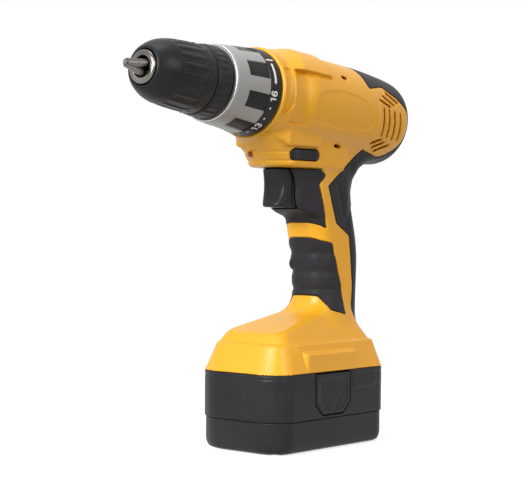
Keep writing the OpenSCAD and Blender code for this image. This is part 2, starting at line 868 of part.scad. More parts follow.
module motor_end_cap() {
    color(black) in_head() difference() {
        union() {
            ring(motor_rear_a - 4, 4, motor_r - can_t - 0.02, motor_r - can_t - 1.6);
            on_axis(motor_rear_a) cylinder(r = motor_r, h = 2);
            on_axis(motor_rear_a + 1) cylinder(r = 6, h = end_cap_l - 1);
            for (s = [-1, 1]) translate([commutator_a + 0.5, s * 9.5 - 4.3, -3.5])
                cube([motor_rear_a - commutator_a, 8.6, 7]);
        }
        on_axis(motor_rear_a - 20) cylinder(r = commutator_r + 0.5, h = 20);
        on_axis(motor_rear_a - 1) cylinder(r = shaft_r + running, h = 20);
        translate([commutator_a + 2, -20, -2]) cube([6, 40, 4]);
    }
}

module motor_brushes() {
    color("#4a4744") in_head() for (s = [-1, 1])
        translate([commutator_a + 2.1, s * (commutator_r + 4.1) - 4, -1.9]) cube([5.8, 8, 3.8]);
}

// ---------- chuck ----------

jaw_seat = 0.1;
chuck_nut_a = nose_a + 24.4;
chuck_nut_l = 5;
core_rear_r = chuck_ring_r - 3;
ring_front_place = chuck_rear_a - chuck_ring_l;
thread_l = 22;

// lays a jaw's bar along its leaning path, with its round tip on the spindle's line
module jaw_bar(number, r, length, back = 0) {
    on_axis(nose_a - jaw_reach) rotate(120 * (number - 1)) rotate([0, jaw_lean, 0])
        translate([0, 0, -back]) cylinder(r = r, h = length + back);
}

module spindle() {
    color(steel) in_head() difference() {
        union() {
            on_axis(chuck_rear_a - thread_l) cylinder(r = spindle_r, h = thread_l + 4);
            on_axis(chuck_rear_a) cylinder(r = spindle_r + 1.8, h = tube_front_a - chuck_rear_a - 0.4);
            on_axis(chuck_rear_a) cylinder(r = spindle_r, h = ring_front_a + 3 - chuck_rear_a);
        }
        on_axis(chuck_rear_a - thread_l - 1) cylinder(r = 2.5, h = 16);
    }
}

module chuck_body() {
    color(steel) in_head() difference() {
        turned([[nose_r * 0.62, nose_a], [nose_r - 1, nose_a], [nose_r, nose_a + 1],
            [nose_r + 2.6, nose_a + 5], [core_r, nose_a + 11], [core_r, chuck_nut_a - 0.2],
            [jaw_offset(chuck_nut_a) + jaw_r - 0.9, chuck_nut_a - 0.2],
            [jaw_offset(chuck_nut_a) + jaw_r - 0.9, chuck_nut_a + chuck_nut_l + 0.2],
            [core_r, chuck_nut_a + chuck_nut_l + 0.2], [core_r, ring_front_place],
            [core_rear_r, ring_front_place], [core_rear_r, chuck_rear_a],
            [spindle_r + tiny, chuck_rear_a], [spindle_r + tiny, chuck_rear_a - thread_l - tiny],
            [nose_r * 0.62, chuck_rear_a - thread_l - tiny]]);
        for (i = [1:3]) jaw_bar(i, jaw_r + jaw_seat, jaw_l + jaw_travel + 4);
    }
}

module chuck_screw() {
    color(steel) in_head() {
        on_axis(chuck_rear_a - thread_l - 3) cylinder(r = 4.4, h = 3);
        on_axis(chuck_rear_a - thread_l - 0.1) cylinder(r = 2.5 - tiny, h = 14);
    }
}

module chuck_ring() {
    flutes = 18;
    color(black) in_head() difference() {
        turned([[core_rear_r + tiny, ring_front_place + 0.4], [chuck_ring_r - 1.2, ring_front_place + 0.4],
            [chuck_ring_r, ring_front_place + 2], [chuck_ring_r, chuck_rear_a],
            [core_rear_r + tiny, chuck_rear_a]]);
        for (i = [0:flutes - 1]) on_axis(ring_front_place) rotate(360 * i / flutes)
            translate([chuck_ring_r + 1.4, 0, -1]) cylinder(r = 2, h = chuck_ring_l - 3);
    }
}

module chuck_sleeve() {
    flutes = 12;
    front = nose_a + 4;
    color(black) in_head() difference() {
        turned([[core_r + running, front + 6.6], [14.6, front], [sleeve_r - 5.6, front - 0.4],
            [sleeve_r - 3, front + 4], [sleeve_r - 1.2, front + 12], [sleeve_r, front + 26],
            [sleeve_r + 0.3, ring_front_place - 0.6], [core_r + running, ring_front_place - 0.6]]);
        for (i = [0:flutes - 1]) rotate([360 * i / flutes, 0, 0])
            translate([front + 13, 0, sleeve_r + 2.6]) rotate([0, 90, 0]) cylinder(r = 3.4, h = 20);
    }
}

module chuck_nut() {
    play = 0.35;
    slope = jaw_r / cos(jaw_lean) + play;
    color(steel) in_head() turned([
        [jaw_offset(chuck_nut_a) + slope, chuck_nut_a], [core_r + running - tiny, chuck_nut_a],
        [core_r + running - tiny, chuck_nut_a + chuck_nut_l],
        [jaw_offset(chuck_nut_a + chuck_nut_l) + slope, chuck_nut_a + chuck_nut_l]]);
}

module jaw(number) {
    color(steel) in_head() intersection() {
        jaw_bar(number, jaw_r, jaw_l);
        // the wedge between its two neighbours
        on_axis(nose_a - jaw_reach - 1) rotate(120 * (number - 1)) translate([0.2, 0, 0])
            linear_extrude(80) polygon([[0, 0], [30, -30 * tan(60)], [60, 0], [30, 30 * tan(60)]]);
    }
}

module jaw_1() jaw(1);
module jaw_2() jaw(2);
module jaw_3() jaw(3);

// ---------- torque collar ----------

// outside radius of the collar at a place along the head
function collar_r(a) = collar_front_r
    + (collar_rear_r - collar_front_r) * (a - collar_front_a) / collar_l;

module torque_collar() {
    band_a = collar_a - collar_band_l;
    step_a = case_wall_a - case_wall_t - 0.6;
    color(black) in_head() difference() {
        turned([[collar_front_bore_r, collar_front_a + 2],
            [collar_front_r - collar_recess_t, collar_front_a + 2],
            [collar_r(band_a) - collar_recess_t, band_a], [collar_r(band_a), band_a],
            [collar_rear_r, collar_a], [collar_bore_r, collar_a], [collar_bore_r, step_a],
            [collar_front_bore_r, step_a]]);
        for (i = [0:2]) on_axis(nut_a - 0.6) rotate(120 * i) translate([0, -2.5, 0])
            cube([collar_front_bore_r + 1.3, 5, nut_l + nut_travel + 1.2]);
    }
}

module collar_grip() {
    band_a = collar_a - collar_band_l;
    pitch = 360 / collar_recesses;
    color(grey) in_head() difference() {
        turned([[collar_front_bore_r, collar_front_a], [collar_front_r - 0.6, collar_front_a],
            [collar_front_r, collar_front_a + 0.6], [collar_r(band_a), band_a - tiny],
            [collar_r(band_a) - collar_recess_t + tiny, band_a - tiny],
            [collar_front_r - collar_recess_t + tiny, collar_front_a + 2 - tiny],
            [collar_front_bore_r, collar_front_a + 2 - tiny]]);
        for (i = [0:collar_recesses - 1]) on_axis(collar_front_a + 6.5) rotate(pitch * i)
            translate([15, -6, 0]) cube([20, 12, collar_l]);
    }
}

// ---------- trigger, switch and selector ----------

plunger_r = 3;
plunger_z = trigger_top_z - 9;

module trigger() {
    low = trigger_top_z - trigger_h;
    reach = trigger_rear_x - trigger_front_x;
    color(black) {
        difference() {
            intersection() {
                translate([trigger_front_x - 2, 0, low]) linear_extrude(trigger_h)
                    translate([(reach + 2) / 2 + 10, 0]) rounded(reach + 22, trigger_w, 7);
                across(trigger_w) polygon([[trigger_front_x + 1, trigger_top_z],
                    [trigger_front_x - 2, low + 1], [trigger_front_x + 1, low],
                    [trigger_rear_x, low], [trigger_rear_x, trigger_top_z]]);
            }
            translate([trigger_front_x - 30.6, 0, low + trigger_h * 0.6]) rotate([90, 0, 0])
                cylinder(r = 31.5, h = 60, center = true);
        }
        translate([trigger_rear_x - 1, 0, plunger_z]) rotate([0, 90, 0])
            cylinder(r = plunger_r, h = switch_x - trigger_rear_x + 4);
    }
}

module trigger_spring() {
    color(steel) translate([trigger_rear_x + 0.1, 0, plunger_z]) rotate([0, 90, 0])
        coil(plunger_r + 1.3, 0.5, switch_x - trigger_rear_x - 0.2, 3);
}

module switch_body() {
    color(black) difference() {
        translate([switch_x, -switch_w / 2, trigger_top_z - 1 - switch_h])
            cube([switch_l, switch_w, switch_h]);
        translate([switch_x - 1, 0, plunger_z]) rotate([0, 90, 0])
            cylinder(r = plunger_r + running, h = 5 + trigger_travel + gap + 1);
    }
}

module direction_selector() {
    arm_x = switch_x + 3;
    color(black) {
        translate([selector_x, 0, selector_z]) rotate([90, 0, 0])
            linear_extrude(2 * (chin_half_w + selector_travel / 5), center = true)
            rounded(selector_l, selector_h, selector_h / 2 - tiny);
        translate([selector_x + selector_l / 2 - 4, -3, selector_z - 2.4])
            cube([arm_x - selector_x - selector_l / 2 + 7, 6, 2.4]);
        translate([arm_x, -3, trigger_top_z - 0.7])
            cube([3, 6, selector_z - trigger_top_z]);
    }
}

// red and black leads from the motor to the switch, and from the terminals to the switch
module internal_leads() {
    motor_end = head_point(motor_rear_a + 3.3, -14);
    switch_top = trigger_top_z - 1;
    block_top = terminal_z + terminal_h;
    for (s = [-1, 1]) color(s < 0 ? "#9c2b22" : black) {
        wire([[motor_end[0], 7 * s, motor_end[1]],
            [motor_end[0] + 1, 8 * s, motor_end[1] - 8],
            [switch_x + switch_l - 4, 6 * s, switch_top + 9],
            [switch_x + switch_l - 4, 6 * s, switch_top + 0.2]], 1.1);
        wire([[terminal_x + 12 + 3 * s, 4 * s, block_top + 0.2],
            [terminal_x + 12 + 2 * s, 4 * s, block_top + 20],
            [switch_x + 14, 4 * s, switch_top - switch_h - 0.8]], 1.2);
    }
}

module terminal_block() {
    color(black) translate([terminal_x, -terminal_w / 2, terminal_z]) difference() {
        cube([terminal_l, terminal_w, terminal_h]);
        for (i = [-1:1])
            translate([terminal_l / 2 - blade_w / 2 - blade_play,
                terminal_w / 2 + blade_pitch * i - blade_t / 2, -1])
                cube([blade_w + 2 * blade_play, blade_t, 5]);
    }
}

module terminal_blades() {
    color(brass_tone) for (i = [-1:1])
        translate([terminal_x + terminal_l / 2 - blade_w / 2,
            blade_pitch * i - blade_t / 2 + tiny, terminal_z - 10])
            cube([blade_w, blade_t - 2 * tiny, 13.9]);
}

// ---------- battery pack ----------

deck_t = 2.2;
cell_pitch = cell_d + 0.3;
cell_end_room = 8.9;
rows = min(cell_rows, floor((2 * (pocket_back - 0.3) + 0.3 + tiny) / cell_pitch));
columns = min(cell_columns, floor((pack_l - 2 * cell_end_room) / cell_pitch));
cell_z = pack_wall + 0.3;

module pack_lower_case() {
    color(black) difference() {
        union() {
            translate([0, 0, pack_bevel]) linear_extrude(pack_joint_z - pack_bevel) pack_plan(pack_step);
            hull() {
                linear_extrude(0.02) pack_plan(pack_step + pack_bevel);
                translate([0, 0, pack_bevel]) linear_extrude(0.02) pack_plan(pack_step);
            }
        }
        difference() {
            translate([0, 0, pack_wall]) linear_extrude(pack_h) pack_plan(pack_step + pack_wall + 0.8);
            pack_posts(pack_wall - 0.5, pack_h, screw_well_r + 1.3);
        }
        translate([0, 0, pack_joint_z]) linear_extrude(pack_h) pack_plan(0);
        battery_screw_holes(1.3 + running);
    }
}

module pack_upper_case() {
    side = pack_w / 2;
    case_h = pack_h - pack_joint_z - gap / 3;
    color(black) difference() {
        union() {
            difference() {
                translate([0, 0, pack_joint_z]) linear_extrude(case_h) pack_plan(0);
                translate([0, 0, pack_joint_z - 1]) linear_extrude(case_h - deck_t + 1)
                    pack_plan(pack_wall);
            }
            translate([stem_x, 0, pack_h - 1]) linear_extrude(stem_h + 1) rounded(stem_l, stem_w, 8);
            for (s = [-1, 1]) latch_pocket(s);
        }
        translate([stem_x, 0, pack_h - 10]) linear_extrude(stem_h + 8) rounded(stem_l - 4, stem_w - 4, 6);
        for (i = [-1:1])
            translate([terminal_x + terminal_l / 2 - blade_w / 2 - 0.5,
                blade_pitch * i - 1, stem_top_z - 4])
                cube([blade_w + 1, 2, 6]);
        for (s = [-1, 1]) {
            latch_window(s);
            translate([latch_x - 10.4, s * (side - 4.8) - 2.8, pack_h - deck_t - 2])
                cube([20.8, 5.6, 6]);
        }
    }
    color(black) difference() {
        pack_posts(pack_joint_z, pack_h - deck_t - gap / 3, screw_well_r);
        battery_screw_holes(1.25);
    }
}

// the wall behind a latch and the two webs that join it to the side of the case
module latch_pocket(s) {
    half = latch_w / 2 + 2;
    front = pack_w / 2 - pack_wall + 0.4;
    height = pack_h - pack_joint_z - deck_t - 0.6;
    translate([latch_x, 0, pack_joint_z]) {
        translate([-half, s < 0 ? -pocket_back - pocket_wall_t : pocket_back, 0])
            cube([2 * half, pocket_wall_t, height]);
        for (x = [-half, half - 1.2]) translate([x, s < 0 ? -front : pocket_back, 0])
            cube([1.2, front - pocket_back, height]);
    }
}

// outline of a latch button seen from the side, grown by g
module latch_outline(g) {
    half = latch_w / 2 + g;
    top = pack_h - gap - 0.8 + g;
    low = pack_h - 1.4 - latch_h - g;
    across(pack_w) polygon([[latch_x - half, top], [latch_x - half, low + 7], [latch_x - half + 7, low],
        [latch_x + half - 7, low], [latch_x + half, low + 7], [latch_x + half, top]]);
}

module latch_window(s) {
    intersection() {
        latch_outline(gap + 0.1);
        translate([-pack_l, s < 0 ? -50 : window_back, 0])
            cube([2 * pack_l, 50 - window_back, 100]);
    }
}

// the latch of one side: its button, and the arm that reaches up into the foot
module latch(s) {
    color(black) {
        intersection() {
            latch_outline(0);
            translate([-pack_l, s < 0 ? -latch_face : latch_face - latch_t, 0])
                cube([2 * pack_l, latch_t, 100]);
        }
        translate([latch_x - latch_arm_w / 2, s < 0 ? 2.4 - latch_face : latch_face - 5.3, pack_h - 2.5])
            cube([latch_arm_w, 2.9, 1.4]);
        translate([latch_x - latch_arm_w / 2, s < 0 ? 3.5 - latch_face : latch_face - 5.3, pack_h - 2.5])
            cube([latch_arm_w, 1.8, 10]);
    }
}

module left_latch() latch(-1);
module right_latch() latch(1);

module latch_springs() {
    seat = pocket_back + pocket_wall_t + 0.1;
    length = latch_face - latch_t - seat - 0.1;
    color(steel) for (s = [-1, 1]) translate([latch_x, s * (seat + 0.05), pack_h - 14])
        rotate([-90 * s, 0, 0]) coil(3.2, 0.4, length, 2);
}

screw_well_r = 2.9;
pack_post_places = [for (x = [1.5 - pack_l / 2 + 8, pack_l / 2 - 8], y = [-1, 1])
    [x, y * (pack_w / 2 - 10)]];

module pack_posts(low, high, r) {
    for (p = pack_post_places) translate([p[0], p[1], low]) cylinder(r = r, h = high - low);
}

module battery_screw_holes(r) {
    for (p = pack_post_places) translate([p[0], p[1], -1]) {
        cylinder(r = r, h = pack_joint_z + 14);
        cylinder(r = screw_well_r, h = 5);
    }
}

module pack_screws() {
    color(steel) for (p = pack_post_places) translate([p[0], p[1], 2]) {
        cylinder(r = 2.6, h = 2);
        cylinder(r = 1.24, h = pack_joint_z + 8);
    }
}

module battery_cells() {
    color("#3f6f8f") for (i = [0:columns - 1], j = [0:rows - 1])
        translate([(i - (columns - 1) / 2) * cell_pitch,
            (j - (rows - 1) / 2) * cell_pitch, cell_z]) {
            cylinder(r = cell_d / 2, h = cell_h - 1);
            cylinder(r = 4, h = cell_h);
        }
}

module cell_links() {
    color(steel) for (i = [0:columns - 2], j = [0:rows - 1]) if ((i + j) % 2 == 0)
        translate([(i - (columns - 1) / 2) * cell_pitch - 3,
            (j - (rows - 1) / 2) * cell_pitch - 3, cell_z + cell_h])
            cube([cell_pitch + 6, 6, 0.25]);
}

module pack_terminals() {
    color(brass_tone) for (i = [-1:1], s = [-1, 1])
        translate([terminal_x + terminal_l / 2 - blade_w / 2,
            blade_pitch * i + s * 1.1 - 0.3, stem_top_z - 14])
            cube([blade_w, 0.6, 11.9]);
    color(black)
        translate([terminal_x + terminal_l / 2 - 8, 2.1 - stem_w / 2, stem_top_z - 16])
            cube([16, stem_w - 4.2, 2]);
}

left_housing();
right_housing();
left_grip();
right_grip();
left_back_rubber();
right_back_rubber();
housing_screws();
gear_case();
gearbox_screws();
motor_plate();
clutch_balls();
clutch_plate();
clutch_spring();
ring_gear_front();
ring_gear_rear();
spindle_bearing();
motor_can();
motor_magnets();
motor_end_cap();
motor_brushes();
switch_body();
internal_leads();
terminal_block();
terminal_blades();
spindle();
front_carrier();
chuck_body();
chuck_ring();
chuck_screw();
chuck_sleeve();
chuck_nut();
jaw_1();
jaw_2();
jaw_3();
front_planet_1();
front_planet_2();
front_planet_3();
rear_carrier();
rear_planet_1();
rear_planet_2();
rear_planet_3();
armature();
commutator();
pinion();
cooling_fan();
torque_collar();
collar_grip();
clutch_nut();
trigger();
trigger_spring();
direction_selector();
pack_upper_case();
pack_lower_case();
battery_cells();
cell_links();
pack_terminals();
pack_screws();
left_latch();
right_latch();
latch_springs();
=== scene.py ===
"""Cordless drill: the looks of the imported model.

Shapes are worked out with numpy in millimetres, in the model's own axes: +Z up, nose towards -X,
origin under the middle of the pack. Meshes are handed over in metres.
A place on the head is (a, y, v): a runs rearwards along the spindle from the back of the torque
collar, y to the drill's right, and v square to both, upwards.

Two ways of making a surface are used.
- turned(): a profile carried round the spindle, as a grid of profile place by angle.
- moulded(): the skin where a solid's field passes through zero, for bodies whose walls, pockets
  and blends run into each other, which no single grid of two parameters can follow.
"""

import math

import bpy
import numpy as np
from mathutils import Matrix, Vector


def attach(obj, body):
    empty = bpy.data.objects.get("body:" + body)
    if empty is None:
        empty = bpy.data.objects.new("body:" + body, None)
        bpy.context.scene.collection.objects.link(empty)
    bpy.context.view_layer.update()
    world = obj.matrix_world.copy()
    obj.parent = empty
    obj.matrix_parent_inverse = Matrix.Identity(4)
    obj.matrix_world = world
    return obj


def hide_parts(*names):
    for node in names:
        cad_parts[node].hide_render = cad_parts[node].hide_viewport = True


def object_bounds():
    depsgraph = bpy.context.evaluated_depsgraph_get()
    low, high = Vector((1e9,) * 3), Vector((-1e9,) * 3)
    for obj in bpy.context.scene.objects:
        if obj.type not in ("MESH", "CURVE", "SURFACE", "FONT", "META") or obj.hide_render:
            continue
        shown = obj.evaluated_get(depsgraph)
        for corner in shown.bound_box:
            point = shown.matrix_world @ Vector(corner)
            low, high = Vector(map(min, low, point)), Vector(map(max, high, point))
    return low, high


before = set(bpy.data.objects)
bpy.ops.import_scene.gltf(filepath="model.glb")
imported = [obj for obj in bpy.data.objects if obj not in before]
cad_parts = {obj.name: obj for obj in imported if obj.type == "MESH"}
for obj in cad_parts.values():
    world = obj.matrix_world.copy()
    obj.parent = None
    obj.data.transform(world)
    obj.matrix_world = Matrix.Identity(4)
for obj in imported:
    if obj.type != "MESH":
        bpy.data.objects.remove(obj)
cad_box = [list(corner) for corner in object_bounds()]

MM = 0.001
LEFT, RIGHT = -1, 1
SIDES = ((LEFT, "left"), (RIGHT, "right"))

# ---------- sizes, in millimetres ----------

HEAD_X, HEAD_Z = -45.0, 219.0
TILT = math.radians(5.0)
TOP_Z = cad_box[1][2] / MM - 0.05
BARREL_REAR_A = 132.9
CASE_BORE_R = 24.05
WALL = 3.2
RUBBER_T = 2.0
SEAM = 0.03

CHIN_HALF_W = 19.0
CHIN_NOSE_R = 16.0
CHIN_FLOOR_Z = 174.0

PACK_L, PACK_W, PACK_H = 110.0, 68.0, 48.5
PACK_CORNER_R = 11.0
PACK_JOINT_Z = 20.0
LEDGE_Z = 66.0
STEM_X, STEM_L, STEM_W, STEM_TOP_Z = 30.2, 32.0, 25.0, 92.0
LATCH_X, LATCH_HALF_W, LATCH_CORNER = -2.0, 17.0, 7.0
LATCH_TOP_Z, LATCH_LOW_Z = 47.4, 22.1
LATCH_FACE_Y, LATCH_T = 34.3, 3.6

TRIGGER_FRONT_X, TRIGGER_REAR_X = -23.5, 3.1
TRIGGER_LOW_Z, TRIGGER_TOP_Z = 149.5, 173.5
TRIGGER_HALF_W, TRIGGER_NOSE_R = 9.5, 8.5
SELECTOR_X, SELECTOR_Z = -12.5, 182.0
SELECTOR_L, SELECTOR_H = 27.0, 7.0

COLLAR_FRONT_A, COLLAR_REAR_A, COLLAR_BAND_A = -36.4, -0.4, -9.4
CHUCK_NOSE_A, CHUCK_REAR_A = -92.3, -37.8
CHUCK_MOUTH_R, JAW_BORE_R = 6.2, 3.05
JAW_REACH, JAW_LEAN = 11.0, math.radians(14.0)

SCREW_Y = 10.0
SCREW_WELL_R, SCREW_BOSS_R = 3.3, 4.5


def from_head(a, y, v):
    """Turns a place on the head, (a, y, v), into x, y, z."""
    return (HEAD_X + a * math.cos(TILT) + v * math.sin(TILT), y,
            HEAD_Z - a * math.sin(TILT) + v * math.cos(TILT))


def to_head(x, z):
    """Turns x and z into the head's a and v."""
    return ((x - HEAD_X) * math.cos(TILT) - (z - HEAD_Z) * math.sin(TILT),
            (x - HEAD_X) * math.sin(TILT) + (z - HEAD_Z) * math.cos(TILT))


def side_place(a, v):
    """A place on the head's middle plane as (x, z)."""
    x, _, z = from_head(a, 0.0, v)
    return (x, z)


SCREW_PLACES = [side_place(12, -29.5), side_place(46.6, 24.5), side_place(120.5, 18.8),
                side_place(120.5, -18.8), (41.5, 128.0), (13.4, 114.0), (-35.0, 57.5), (-9.0, 65.5)]

# ---------- arithmetic for shapes ----------


def soft_min(p, q, width):
    """The lower of two values, with the change between them rounded over a width."""
    h = np.clip(0.5 + 0.5 * (q - p) / width, 0, 1)
    return q + (p - q) * h - width * h * (1 - h)


def soft_max(p, q, width):
    """The higher of two values, rounded in the same way."""
    return -soft_min(-p, -q, width)


def trimmed(form, *limits):
    """A form kept inside limits, each given with the softness of the edge that it makes."""
    for limit, softness in limits:
        form = soft_max(form, limit, softness)
    return form


def ramp(t):
    """0 below 0, 1 above 1, and 3t^2 - 2t^3 between."""
    t = np.clip(t, 0, 1)
    return t * t * (3 - 2 * t)


def within(t, low, high, rise, fall):
    """1 between two values, easing to 0 over the first's rise and the second's fall."""
    return ramp((t - low) / rise) * ramp((high - t) / fall)


def hump(t):
    """A smooth hump: 1 at 0, and nearly 0 past 2 on either side."""
    return np.exp(-t**2)


def lowest(*fields):
    """The lowest of several fields, which fills what any of them fills."""
    value = fields[0]
    for field in fields[1:]:
        value = np.minimum(value, field)
    return value


def highest(*fields):
    """The highest of several fields, which fills only what all of them fill."""
    value = fields[0]
    for field in fields[1:]:
        value = np.maximum(value, field)
    return value


def eased(t, places, values):
    """A smooth curve through listed values: a cubic between each pair, with the slope at each
    place taken from its two neighbours."""
    places, values = np.asarray(places, float), np.asarray(values, float)
    slopes = np.gradient(values, places)
    i = np.clip(np.searchsorted(places, t) - 1, 0, len(places) - 2)
    h = places[i + 1] - places[i]
    u = np.clip((t - places[i]) / h, 0, 1)
    return ((2 * u**3 - 3 * u**2 + 1) * values[i] + (u**3 - 2 * u**2 + u) * h * slopes[i]
            + (3 * u**2 - 2 * u**3) * values[i + 1] + (u**3 - u**2) * h * slopes[i + 1])


def outline(u, w, points):
    """Distance to a closed outline, below zero inside it: the nearest of its edges, with the
    side from how many edges lie beyond the place."""
    shape = np.broadcast(u, w).shape
    near, inside = np.full(shape, 1e9), np.zeros(shape, bool)
    for (u0, w0), (u1, w1) in zip(points, points[1:] + points[:1]):
        du, dw = u1 - u0, w1 - w0
        t = np.clip(((u - u0) * du + (w - w0) * dw) / (du * du + dw * dw), 0, 1)
        near = np.minimum(near, np.hypot(u - u0 - t * du, w - w0 - t * dw))
        if dw:
            inside ^= ((w0 > w) != (w1 > w)) & (u < u0 + (w - w0) * du / dw)
    return np.where(inside, -near, near)


def slot(u, w, start, end, half_width):
    """Distance to a round-ended slot between two places."""
    du, dw = end[0] - start[0], end[1] - start[1]
    t = np.clip(((u - start[0]) * du + (w - start[1]) * dw) / (du * du + dw * dw), 0, 1)
    return np.hypot(u - start[0] - t * du, w - start[1] - t * dw) - half_width


def rods(u, w, places, r):
    """Distance to round rods that stand on listed places."""
    return lowest(*(np.hypot(u - pu, w - pw) - r for pu, pw in places))


def box(x, y, z, low, high):
    """Distance to an upright box: the furthest past any of its six faces."""
    return highest(low[0] - x, x - high[0], low[1] - y, y - high[1], low[2] - z, z - high[2])


def rounded_plan(x, y, half_l, half_w, r):
    """Distance to a rectangle with round corners, centred on the origin."""
    dx, dy = np.abs(x) - (half_l - r), np.abs(y) - (half_w - r)
    return (np.hypot(np.maximum(dx, 0), np.maximum(dy, 0))
            + np.minimum(np.maximum(dx, dy), 0) - r)


# ---------- making meshes ----------


def field_slope(field, p, reach):
    """The field's value and slope at places p, by central differences."""
    x, y, z = p.T
    slope = np.stack([field(x + reach, y, z) - field(x - reach, y, z),
                      field(x, y + reach, z) - field(x, y - reach, z),
                      field(x, y, z + reach) - field(x, y, z - reach)], axis=1) / (2 * reach)
    return field(x, y, z), slope


def moulded(open_field, low, high, cell, side=0):
    """The skin where a field passes through zero. Each cell of space that the skin crosses gets
    one point, the mean of where its edges are crossed, and each crossed edge joins the four
    points round it. The points are then slid onto the skin itself. With a side, the solid stops
    just short of the middle plane on that side, and points by that cut are set on its sharp
    edge. Gives points, four-sided faces and outward directions."""
    def field(x, y, z):
        value = open_field(x, y, z)
        return np.maximum(value, SEAM - side * y) if side else value

    counts = [int(math.ceil((h - l) / cell)) + 3 for l, h in zip(low, high)]
    start = np.array(low, float) - cell
    x, y, z = np.ogrid[0:counts[0], 0:counts[1], 0:counts[2]]
    value = field(start[0] + cell * x, start[1] + cell * y, start[2] + cell * z)
    value = np.ascontiguousarray(np.broadcast_to(value, counts))
    solid = value < 0
    cells = tuple(n - 1 for n in counts)
    filled = sum(solid[i:i + cells[0], j:j + cells[1], k:k + cells[2]].astype(np.int8)
                 for i, j, k in np.ndindex(2, 2, 2))
    crossed = (filled > 0) & (filled < 8)
    place = np.argwhere(crossed)
    number = np.full(cells, -1, np.int64)
    number[crossed] = np.arange(len(place))
    total, hits = np.zeros((len(place), 3)), np.zeros(len(place))
    for axis in range(3):
        unit = np.eye(3, dtype=int)[axis]
        for i, j in np.ndindex(2, 2):
            corner = np.insert([i, j], axis, 0)
            p, q = place + corner, place + corner + unit
            fp, fq = value[tuple(p.T)], value[tuple(q.T)]
            cut = (fp < 0) != (fq < 0)
            t = np.where(cut, fp / np.where(cut, fp - fq, 1), 0)
            total += np.where(cut[:, None], p + t[:, None] * unit, 0)
            hits += cut
    points = start + cell * total / hits[:, None]
    faces = []
    for axis in range(3):
        b, c = (axis + 1) % 3, (axis + 2) % 3
        unit, ub, uc = (np.eye(3, dtype=int)[n] for n in (axis, b, c))
        ends = [slice(1, -1)] * 3
        here, there = list(ends), list(ends)
        here[axis], there[axis] = slice(0, -1), slice(1, None)
        first, second = solid[tuple(here)], solid[tuple(there)]
        for outward, mask in ((1, first & ~second), (-1, second & ~first)):
            p = np.argwhere(mask) + 1 - unit
            ring = [number[tuple((p - s * ub - t * uc).T)]
                    for s, t in ((1, 1), (0, 1), (0, 0), (1, 0))]
            faces.append(np.stack(ring[::outward], axis=1))
    faces = np.concatenate(faces)
    home = points.copy()
    for _ in range(4):
        f, slope = field_slope(field, points, 0.25 * cell)
        step = slope * (f / np.maximum((slope**2).sum(1), 0.05))[:, None]
        points = home + np.clip(points - step - home, -0.75 * cell, 0.75 * cell)
    _, slope = field_slope(field, points, 0.3 * cell)
    if side:
        edge = np.abs(points[:, 1] - side * SEAM) < 0.6 * cell
        edge[edge] = np.abs(open_field(*points[edge].T)) < 0.8 * cell
        on_edge = points[edge]
        on_edge[:, 1] = side * SEAM
        for _ in range(4):
            f, way = field_slope(open_field, on_edge, 0.25 * cell)
            way[:, 1] = 0
            step = np.clip(f / np.maximum((way**2).sum(1), 0.1), -cell / 2, cell / 2)
            on_edge -= way * step[:, None]
        points[edge] = on_edge
        slope[edge] = field_slope(open_field, on_edge, 0.3 * cell)[1]
    return points, faces, slope / np.maximum(np.linalg.norm(slope, axis=1), 1e-9)[:, None]


def resampled(path, count):
    """Even places along a path of straight lines. count() gives how many for its length."""
    p = np.array(path, float)
    run = np.concatenate([[0], np.cumsum(np.hypot(*np.diff(p, axis=0).T))])
    t = np.linspace(0, run[-1], count(run[-1]))
    return np.stack([np.interp(t, run, p[:, 0]), np.interp(t, run, p[:, 1])], axis=1)


def softened_loop(points, gap, passes):
    """A closed profile resampled at an even gap, with its corners eased by averaging each place
    with its neighbours."""
    loop = resampled(points + points[:1], lambda length: int(length / gap) + 1)[:-1]
    for _ in range(passes):
        loop = 0.25 * np.roll(loop, 1, axis=0) + 0.5 * loop + 0.25 * np.roll(loop, -1, axis=0)
    return loop


def thinned(loop, busy, step):
    """A profile with only every step-th place kept, apart from its bends and its busy places."""
    ahead, behind = np.roll(loop, -1, axis=0) - loop, loop - np.roll(loop, 1, axis=0)
    bend = np.abs(ahead[:, 0] * behind[:, 1] - ahead[:, 1] * behind[:, 0]) > 0.0015
    return loop[bend | busy(loop[:, 0], loop[:, 1]) | (np.arange(len(loop)) % step == 0)]


def round_spindle(a, r, angle):
    """Places round the spindle. The angle counts from the drill's left, upwards."""
    return np.stack(from_head(a, -r * np.cos(angle), r * np.sin(angle)), axis=-1).reshape(-1, 3)


def ring_faces(rows, sides, closed):
    """Faces between rows of points that each run round a ring. In a closed surface the last row
    meets the first."""
    row, column = np.indices((rows if closed else rows - 1, sides))
    below, beside = (row + 1) % rows, (column + 1) % sides
    return np.stack([row * sides + column, below * sides + column,
                     below * sides + beside, row * sides + beside], axis=-1).reshape(-1, 4)


def turned(profile, sides, relief=None):
    """A closed profile of (a, radius) carried round the spindle. relief(a, angle, radius) gives
    how far the surface lies inside the profile there."""
    a = np.repeat(profile[:, :1], sides, axis=1)
    r = np.repeat(profile[:, 1:], sides, axis=1)
    angle = np.broadcast_to(np.linspace(-math.pi, math.pi, sides, endpoint=False), a.shape)
    if relief is not None:
        r = r - relief(a, angle, r)
    points = round_spindle(a, r, angle)
    return points, facing_out(points, ring_faces(len(profile), sides, True)), None


def facing_out(points, faces):
    """Turns the faces round where the volume they close comes out below zero."""
    p = points[faces]
    volume = np.einsum("ij,ij->i", p[:, 0], np.cross(p[:, 1], p[:, 2])).sum()
    volume += np.einsum("ij,ij->i", p[:, 0], np.cross(p[:, 2], p[:, 3])).sum()
    return faces if volume > 0 else faces[:, ::-1]


def placed(name, data):
    """A new object in the scene."""
    obj = bpy.data.objects.new(name, data)
    bpy.context.scene.collection.objects.link(obj)
    return obj


